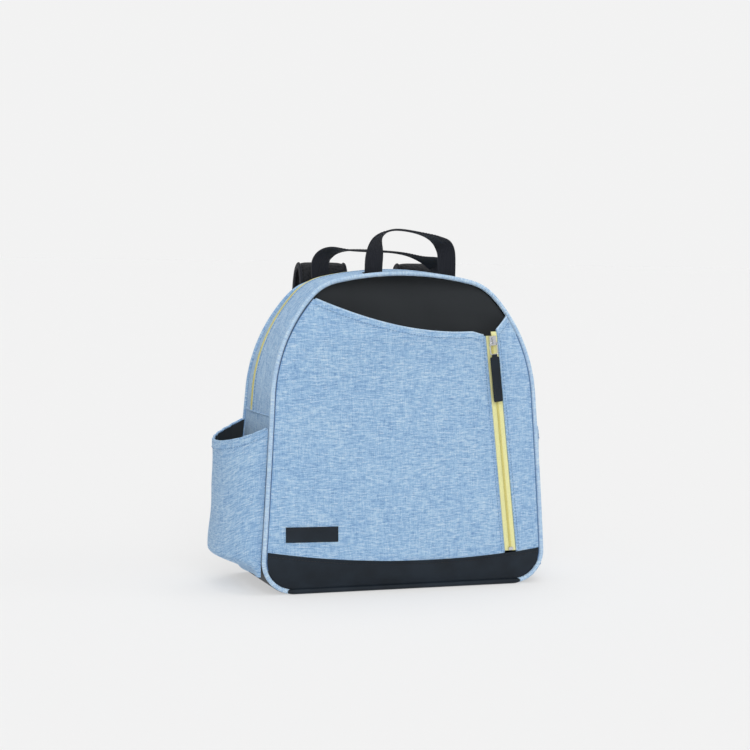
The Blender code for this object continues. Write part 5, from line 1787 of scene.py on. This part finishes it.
@dataclass(frozen=True)
class StrapSizes:
    """A shoulder strap, its binding, its webbing and its ladder lock."""

    thickness: float = 0.012
    width: float = 0.064
    end_width: float = 0.050
    x: float = 0.069
    root_z: float = 0.358
    end_z: float = 0.138
    lock: Tuple[float, float, float] = (0.034, 0.0055, 0.024)
    webbing_w: float = 0.025
    webbing_t: float = 0.0016
    fold: Tuple[float, float] = (0.064, 0.402)


class ShoulderStrap:
    """One padded shoulder strap with bound edges, sewn webbing and the webbing from its lock to the wing."""

    def __init__(
        self, shell: Shell, back: BackSizes, sizes: StrapSizes, padding: Padding, side: int, word: str
    ) -> None:
        """Args: shell; back; sizes; padding; side; word."""
        self.shell, self.back, self.sizes, self.padding = shell, back, sizes, padding
        self.side, self.word = side, word

    def line(self, count: int) -> Array:
        """Args: count: steps to each stretch. Returns: the strap's middle line."""
        s, gap = self.sizes, self.shell.form.gap
        out = gap + self.back.yoke_t + gap + s.thickness / 2
        route = (
            (s.x, s.root_z, out),
            (s.x, 0.388, out + 0.004),
            (s.x, 0.407, out + 0.016),
            (s.x, 0.399, out + 0.031),
            (s.x + 0.002, 0.362, out + 0.033),
            (s.x + 0.008, 0.300, out + 0.028),
            (s.x + 0.018, 0.220, out + 0.024),
            (s.x + 0.028, s.end_z, out + 0.024),
        )
        points = [(self.side * x, float(self.shell.rear_y(z)) + d, z) for x, z, d in route]
        return curve_through(points, count)

    def frames(self, count: int) -> Tuple[Array, Array, Array]:
        """Args: count. Returns: centres, half width vectors and unit outward vectors."""
        s = self.sizes
        centres = self.line(count)
        share = np.linspace(0.0, 1.0, len(centres))
        width = mix(s.width, s.end_width, smooth((share - 0.5) / 0.5)) / 2
        across = np.stack([width, width * 0, width * 0], axis=1)
        return centres, across, unit(np.cross(tangents(centres), across))

    def place(self, obj: bpy.types.Object, finish: Finish, slot: str, nodes: Sequence[str] = ()) -> None:
        """Finishes a strap piece, on no body, and bakes its place into its mesh. Args: obj, finish, slot, CAD
        nodes.
        """
        dress(obj, finish, slot, None, nodes)
        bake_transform(obj)

    def build(self) -> None:
        """Builds the strap and everything sewn to it."""
        s = self.sizes
        centres, across, out = self.frames(8)
        angle = np.linspace(0, 2 * math.pi, 28, endpoint=False)
        c, n = np.cos(angle), np.sin(angle)
        section = np.stack([np.sign(c) * np.abs(c) ** 0.35, np.sign(n) * np.abs(n) ** 0.55], axis=1)
        core = sweep(f"strap_core_{self.word}", centres, across * 0.97, out * s.thickness * 0.40, section)
        middle = self.line(8)

        def held(points: Array) -> Array:
            near = np.argmin(((points[:, None] - middle[None]) ** 2).sum(axis=2), axis=1)
            side = np.abs(points[:, 0] - middle[near, 0]) / np.linalg.norm(across[near], axis=1)
            ends = (near < 3) | (near > len(middle) - 4)
            return np.where((side > 0.86) | ends, 1.0, 0.0)

        self.padding.swell(core, held)
        for sign, kind in ((-1, "inner"), (1, "outer")):
            edge = centres + across * sign * 0.97
            wide = out * s.thickness * 0.36
            binding = sweep(f"strap_binding_{kind}_{self.word}", edge, unit(across) * 0.0022, wide, ring(14))
            self.place(binding, Finish.WEBBING, "webbing_navy")
        self.sewn_webbing(core, centres, out)
        self.place(core, Finish.MESH, "black_mesh", [f"shoulder_strap_{self.word}"])
        self.lower_webbing()

    def sewn_webbing(self, core: bpy.types.Object, centres: Array, out: Array) -> None:
        """The webbing sewn along the outside of the strap. Args: core; centres; outward directions."""
        s = self.sizes
        keep = slice(int(len(centres) * 0.42), len(centres))
        line, face = centres[keep], out[keep]
        if (face * np.array([0.0, 1.0, 0.0])).sum() < 0:
            face = -face
        u = np.linspace(-1, 1, 15)[:, None, None]
        spread = line[None] + u * np.array([s.webbing_w / 2, 0.0, 0.0])
        outs = np.broadcast_to(face[None], spread.shape)
        grid = lay_on(core, spread, outs, s.webbing_t + 0.0002)
        webbing = cloth(f"strap_webbing_{self.word}", grid, s.webbing_t, (0.0, -1.0, 0.2))
        self.place(webbing, Finish.WEBBING, "webbing_navy")
        for row in (1, 13):
            stitches = Stitch().row(f"strap_stitches_{row}_{self.word}", grid[row] + face * 0.0001, face)
            self.place(stitches, Finish.DARK_THREAD, "webbing_navy")

    def lower_webbing(self) -> None:
        """The webbing from the ladder lock down to the wing."""
        s, b, f, shell = self.sizes, self.back, self.shell.form, self.shell
        end = self.line(3)[-1]
        h = s.lock[2]
        lift = f.piping_r + 3 * f.gap + s.webbing_t * 1.5
        z = b.wing_z + b.wing[1] / 2
        start = np.array([self.side * b.wing_x, float(shell.rear_y(z)) + lift, z])
        finish = end - np.array([0.0, 0.0, h + 6 * f.gap])
        below = finish - np.array([0.0, 0.0, h / 2])
        middle = (start + below) / 2 + np.array([self.side * 0.008, 0.006, -0.004])
        route = curve_through([start, middle, below, finish], 16)
        ahead = tangents(route)
        across = unit(np.cross(np.array([0.0, 1.0, 0.0]), ahead))
        level = smooth(2.5 * np.linspace(0, 1, len(route)) - 1.5)[:, None]
        wide = mix(across, np.array([1.0, 0.0, 0.0]), level) * s.webbing_w / 2
        up = unit(np.cross(ahead, wide))
        u = np.linspace(-1, 1, 13)[:, None, None]
        grid = route[None] + wide[None] * u + up[None] * s.webbing_t / 2
        webbing = cloth(f"lower_strap_{self.word}", grid, s.webbing_t)
        dress(webbing, Finish.WEBBING, "webbing_navy", None, [f"lower_webbing_{self.word}"])
        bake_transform(webbing)


# Handles


@dataclass(frozen=True)
class HandleSizes:
    """A webbing handle: where it stands, how high it is, and its webbing."""

    y: float
    feet: Tuple[float, float]
    top: float
    width: float = 0.0235
    thickness: float = 0.0020
    foot_gap: float = 0.0012


class Handle:
    """A webbing handle standing on its feet, sewn down on small patches."""

    def __init__(self, shell: Shell, sizes: HandleSizes, name: str) -> None:
        """Args: shell; sizes; name: its CAD node and body."""
        self.shell, self.sizes, self.name = shell, sizes, name

    def skin_under(self, x: float, nearest: float) -> Tuple[float, float]:
        """Args: x; nearest: the |x| to stand at. Returns: (place, share) on the bag's top."""
        t = np.linspace(4.0, 6.0, 2000)
        px, _ = self.shell.at(t)
        place = float(t[np.argmin(np.abs(px - nearest))])
        front, rear = self.shell.skin(place, 0.0)[1], self.shell.skin(place, 1.0)[1]
        return math.copysign(place, x), (self.sizes.y - front) / (rear - front)

    def foot_z(self, x: float) -> float:
        """Args: x of a foot. Returns: the height it stands at."""
        place, share = self.skin_under(x, abs(x) - self.sizes.width / 2)
        return float(self.shell.skin(place, share)[2]) + self.sizes.foot_gap

    def foot_under(self, x: float) -> float:
        """Args: x of a point on a foot. Returns: the bag's height there, with a hair of air."""
        place, share = self.skin_under(x, abs(x))
        return float(self.shell.skin(place, share)[2]) + 0.0004

    def route(self) -> List[Tuple[float, float, float]]:
        """Returns: the steps of the handle's line: x, z and how far the webbing has turned."""
        s = self.sizes
        lx, rx = s.feet
        left, right, top = self.foot_z(lx), self.foot_z(rx), s.top
        if self.name == "front_handle":
            return [
                (lx, left, 0), (lx + 0.001, top - 0.036, 0), (lx + 0.004, top - 0.017, 35),
                (lx + 0.014, top - 0.005, 75), (lx + 0.032, top, 90), (rx - 0.036, top - 0.004, 90),
                (rx - 0.014, top - 0.012, 70), (rx - 0.002, top - 0.026, 25), (rx, right, 0),
            ]
        return [
            (lx, left, 0), (lx, top - 0.016, 0), (lx + 0.012, top - 0.004, 45),
            (lx + 0.040, top, 90), (rx - 0.062, top - 0.002, 90), (rx - 0.028, top - 0.009, 80),
            (rx - 0.004, top - 0.018, 35), (rx, right + 0.006, 0), (rx, right, 0),
        ]

    def build(self) -> None:
        """Builds the handle, its edge stitches and the patches under its feet."""
        s = self.sizes
        route = np.array(self.route(), float)
        line = curve_through(route, 12)
        centres = np.stack([line[:, 0], line[:, 0] * 0 + s.y, line[:, 1]], axis=1)
        turn = np.radians(line[:, 2])[:, None]
        flat = np.array([0.0, 1.0, 0.0])
        ahead = tangents(centres)
        facing = np.cross(flat, ahead)
        across = (facing * np.cos(turn) + flat * np.sin(turn)) * s.width / 2
        up = unit(np.cross(ahead, across))
        u = np.linspace(-1, 1, 17)[:, None, None]
        cupped = 0.0009 * (u**2 - 0.4)
        grid = centres[None] + across[None] * u + up[None] * (s.thickness / 2 - cupped)
        for end, x in ((0, s.feet[0]), (-1, s.feet[1])):
            wanted = np.array([self.foot_under(float(px)) for px in grid[:, end, 0]])
            share = smooth(1.0 - np.abs(np.arange(len(centres)) - (end % len(centres))) / 12.0)
            grid[..., 2] += (wanted - grid[:, end, 2])[:, None] * share[None]
        run = lengths(centres)
        cut = np.stack(np.broadcast_arrays(u[..., 0] * s.width / 2, run[None]), axis=-1)
        webbing = cloth(f"{self.name}_webbing", grid, s.thickness, cut=cut)
        dress(webbing, Finish.WEBBING, "webbing_navy", self.name, [self.name])
        for row, word in ((1, "a"), (-2, "b")):
            path = grid[row] + up * 0.0001
            sew(f"{self.name}_stitches_{word}", path, up, Finish.DARK_THREAD, "webbing_navy", self.name)
        for x, word in zip(s.feet, ("left", "right")):
            self.patch(x, word)

    def patch(self, x: float, word: str) -> None:
        """The sewn-down end of the webbing under a foot. Args: x; word."""
        s, shell = self.sizes, self.shell
        place, share = self.skin_under(x, abs(x))
        depth = float(np.linalg.norm(shell.skin(place, 1.0) - shell.skin(place, 0.0)))
        step = abs(float(shell.at(place + 0.01)[0] - shell.at(place)[0])) / 0.01
        half = s.width / 2 / step
        t = place + np.linspace(-half, half, 15)
        v = share + np.linspace(-0.008, 0.008, 13) / depth
        tt, vv = np.meshgrid(t, v)
        grid = shell.skin(tt, vv, 0.0009)
        piece = cloth(f"{self.name}_patch_{word}", grid, 0.0009, INSIDE)
        dress(piece, Finish.WEBBING, "webbing_navy")


# Hard parts, floor, light and camera


class HardParts:
    """The CAD's own metal and plastic parts, with rounded edges and their finishes."""

    KINDS: Dict[str, Tuple[Finish, float]] = {
        "pocket_zip_stop": (Finish.NICKEL, 0.0005),
        "pocket_slider": (Finish.NICKEL, 0.0006),
        "main_slider": (Finish.NICKEL, 0.0006),
        "ladder_lock_left": (Finish.PLASTIC, 0.0009),
        "ladder_lock_right": (Finish.PLASTIC, 0.0009),
        "base_board": (Finish.PLASTIC, 0.0006),
        "back_sheet": (Finish.PLASTIC, 0.0004),
    }

    def build(self, nodes: Dict[str, bpy.types.Object]) -> None:
        """Args: nodes: the frame's CAD nodes."""
        for name, (finish, rounding) in self.KINDS.items():
            obj = nodes[name]
            obj.data.materials.clear()
            obj.data.materials.append(finish.material())
            weld = obj.modifiers.new("Weld", "WELD")
            weld.merge_threshold = 0.00001
            bevel = obj.modifiers.new("Rounding", "BEVEL")
            bevel.width = rounding
            bevel.segments = 3
            bevel.limit_method = "ANGLE"
            bevel.angle_limit = math.radians(40)
            bevel.harden_normals = True
            LOG.info("%s: finished as %s", name, finish.value.name)


@dataclass(frozen=True)
class Lamp:
    """A far, wide light: name, where it stands, how wide it looks in degrees and its strength."""

    name: str
    place: Tuple[float, float, float]
    width: float
    strength: float


@dataclass(frozen=True)
class Studio:
    """Pale floor and surround, wide lamps and the camera."""

    pale: float = 0.890
    world: float = 0.50
    floor_albedo: float = 0.36
    radius: float = 60.0
    lamps: Tuple[Lamp, ...] = (
        Lamp("key", (-0.25, -1.0, 0.72), 38.0, 1.25),
        Lamp("top", (0.1, 0.15, 1.0), 50.0, 1.00),
        Lamp("side", (0.9, -0.35, 0.35), 30.0, 0.30),
    )
    camera_at: Tuple[float, float, float] = (-0.7880, -2.2777, 0.4300)
    turn: float = 0.345
    dip: float = 0.0675
    roll: float = 0.015
    lens: float = 88.8
    shift: Tuple[float, float] = (-0.0453, 0.0)

    def light(self) -> None:
        """Sets the surround and the lamps."""
        scene = bpy.context.scene
        world = bpy.data.worlds.new("surround")
        world.use_nodes = True
        world.node_tree.nodes["Background"].inputs[0].default_value = (1.0, 1.0, 1.0, 1.0)
        world.node_tree.nodes["Background"].inputs[1].default_value = self.world
        scene.world = world
        scene.view_settings.view_transform = "Standard"
        for lamp in self.lamps:
            data = bpy.data.lights.new(lamp.name, "SUN")
            data.angle = math.radians(lamp.width)
            data.energy = lamp.strength
            obj = bpy.data.objects.new(lamp.name, data)
            scene.collection.objects.link(obj)
            obj.location = lamp.place
            obj.rotation_mode = "QUATERNION"
            obj.rotation_quaternion = (-Vector(lamp.place)).to_track_quat("-Z", "Y")

    def backdrop(self) -> None:
        """A pale surround that is seen but lights nothing."""
        work = bmesh.new()
        bmesh.ops.create_uvsphere(work, u_segments=48, v_segments=24, radius=self.radius * 0.98)
        mesh = bpy.data.meshes.new("backdrop")
        work.to_mesh(mesh)
        work.free()
        obj = bpy.data.objects.new("backdrop", mesh)
        bpy.context.scene.collection.objects.link(obj)
        obj.visible_diffuse = False
        obj.visible_glossy = False
        obj.visible_shadow = False
        obj.visible_transmission = False
        bench = Bench("pale_backdrop")
        bench.surface(Base_Color=(0.0, 0.0, 0.0, 1.0), Roughness=1.0, Specular_IOR_Level=0.0)
        bench.surface(Emission_Color=(1.0, 1.0, 1.0, 1.0), Emission_Strength=self.pale)
        mesh.materials.append(bench.material)

    def floor(self) -> None:
        """A pale floor that meets the surround without a line."""
        circle = ring(96) * self.radius
        verts = np.concatenate([circle, np.full((96, 1), -0.0002)], axis=1)
        floor = make_object("floor", verts, [list(range(96))])
        bench = Bench("pale_floor")
        speck = bench.noise(bench.place(), 40.0, 2.0)
        albedo = self.floor_albedo
        shade = bench.ramp(speck, [(0.0, (albedo * 0.995,) * 3), (1.0, (albedo,) * 3)])
        bench.surface(Base_Color=shade, Roughness=0.9, Specular_IOR_Level=0.0)
        bench.surface(
            Emission_Color=(1.0, 1.0, 1.0, 1.0), Emission_Strength=self.pale - albedo * self.level()
        )
        floor.data.materials.append(bench.material)

    def level(self) -> float:
        """Returns: the light that falls on open floor, as the brightness of a white one."""
        suns = sum(lamp.strength * Vector(lamp.place).normalized().z for lamp in self.lamps)
        return self.world + suns / math.pi

    def camera(self) -> None:
        """Sets the camera."""
        ahead = Vector((
            math.sin(self.turn) * math.cos(self.dip),
            math.cos(self.turn) * math.cos(self.dip), -math.sin(self.dip)
        ))
        right = ahead.cross(Vector((0.0, 0.0, 1.0))).normalized()
        up = right.cross(ahead)
        c, n = math.cos(self.roll), math.sin(self.roll)
        right, up = c * right + n * up, c * up - n * right
        data = bpy.data.cameras.new("view")
        data.sensor_width = 36.0
        data.lens = self.lens
        data.shift_x, data.shift_y = self.shift
        obj = bpy.data.objects.new("view", data)
        bpy.context.scene.collection.objects.link(obj)
        axes = Matrix((right, up, -ahead)).transposed().to_4x4()
        obj.matrix_world = Matrix.Translation(self.camera_at) @ axes
        bpy.context.scene.camera = obj

    def build(self) -> None:
        """Builds the studio."""
        self.light()
        self.backdrop()
        self.floor()
        self.camera()


def main() -> None:
    """Builds every sub-assembly around the frame."""
    logging.basicConfig(level=logging.INFO, format="%(message)s")
    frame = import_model()
    shell = Shell(Form())
    zips = ZipSizes()
    back = BackSizes()
    front = FrontPocket(shell, FrontSizes())
    front.build()
    Zips(shell, front, zips).build()
    Walls(shell, zips).build()
    for side, word, reach in ((-1, "left", 0.047), (1, "right", 0.0125)):
        BottlePocket(shell, PocketSizes(), side, word, reach).build()
    Back(shell, back, Padding(0.0045, cap=0.0045)).build()
    for side, word in ((-1, "left"), (1, "right")):
        ShoulderStrap(shell, back, StrapSizes(), Padding(0.0035, cap=0.0025), side, word).build()
    Handle(shell, HandleSizes(-0.045, (-0.036, 0.064), 0.4555), "front_handle").build()
    Handle(shell, HandleSizes(0.034, (-0.082, 0.084), 0.4285), "rear_handle").build()
    HardParts().build(frame["nodes"])
    Studio().build()


if __name__ == "__main__":
    main()
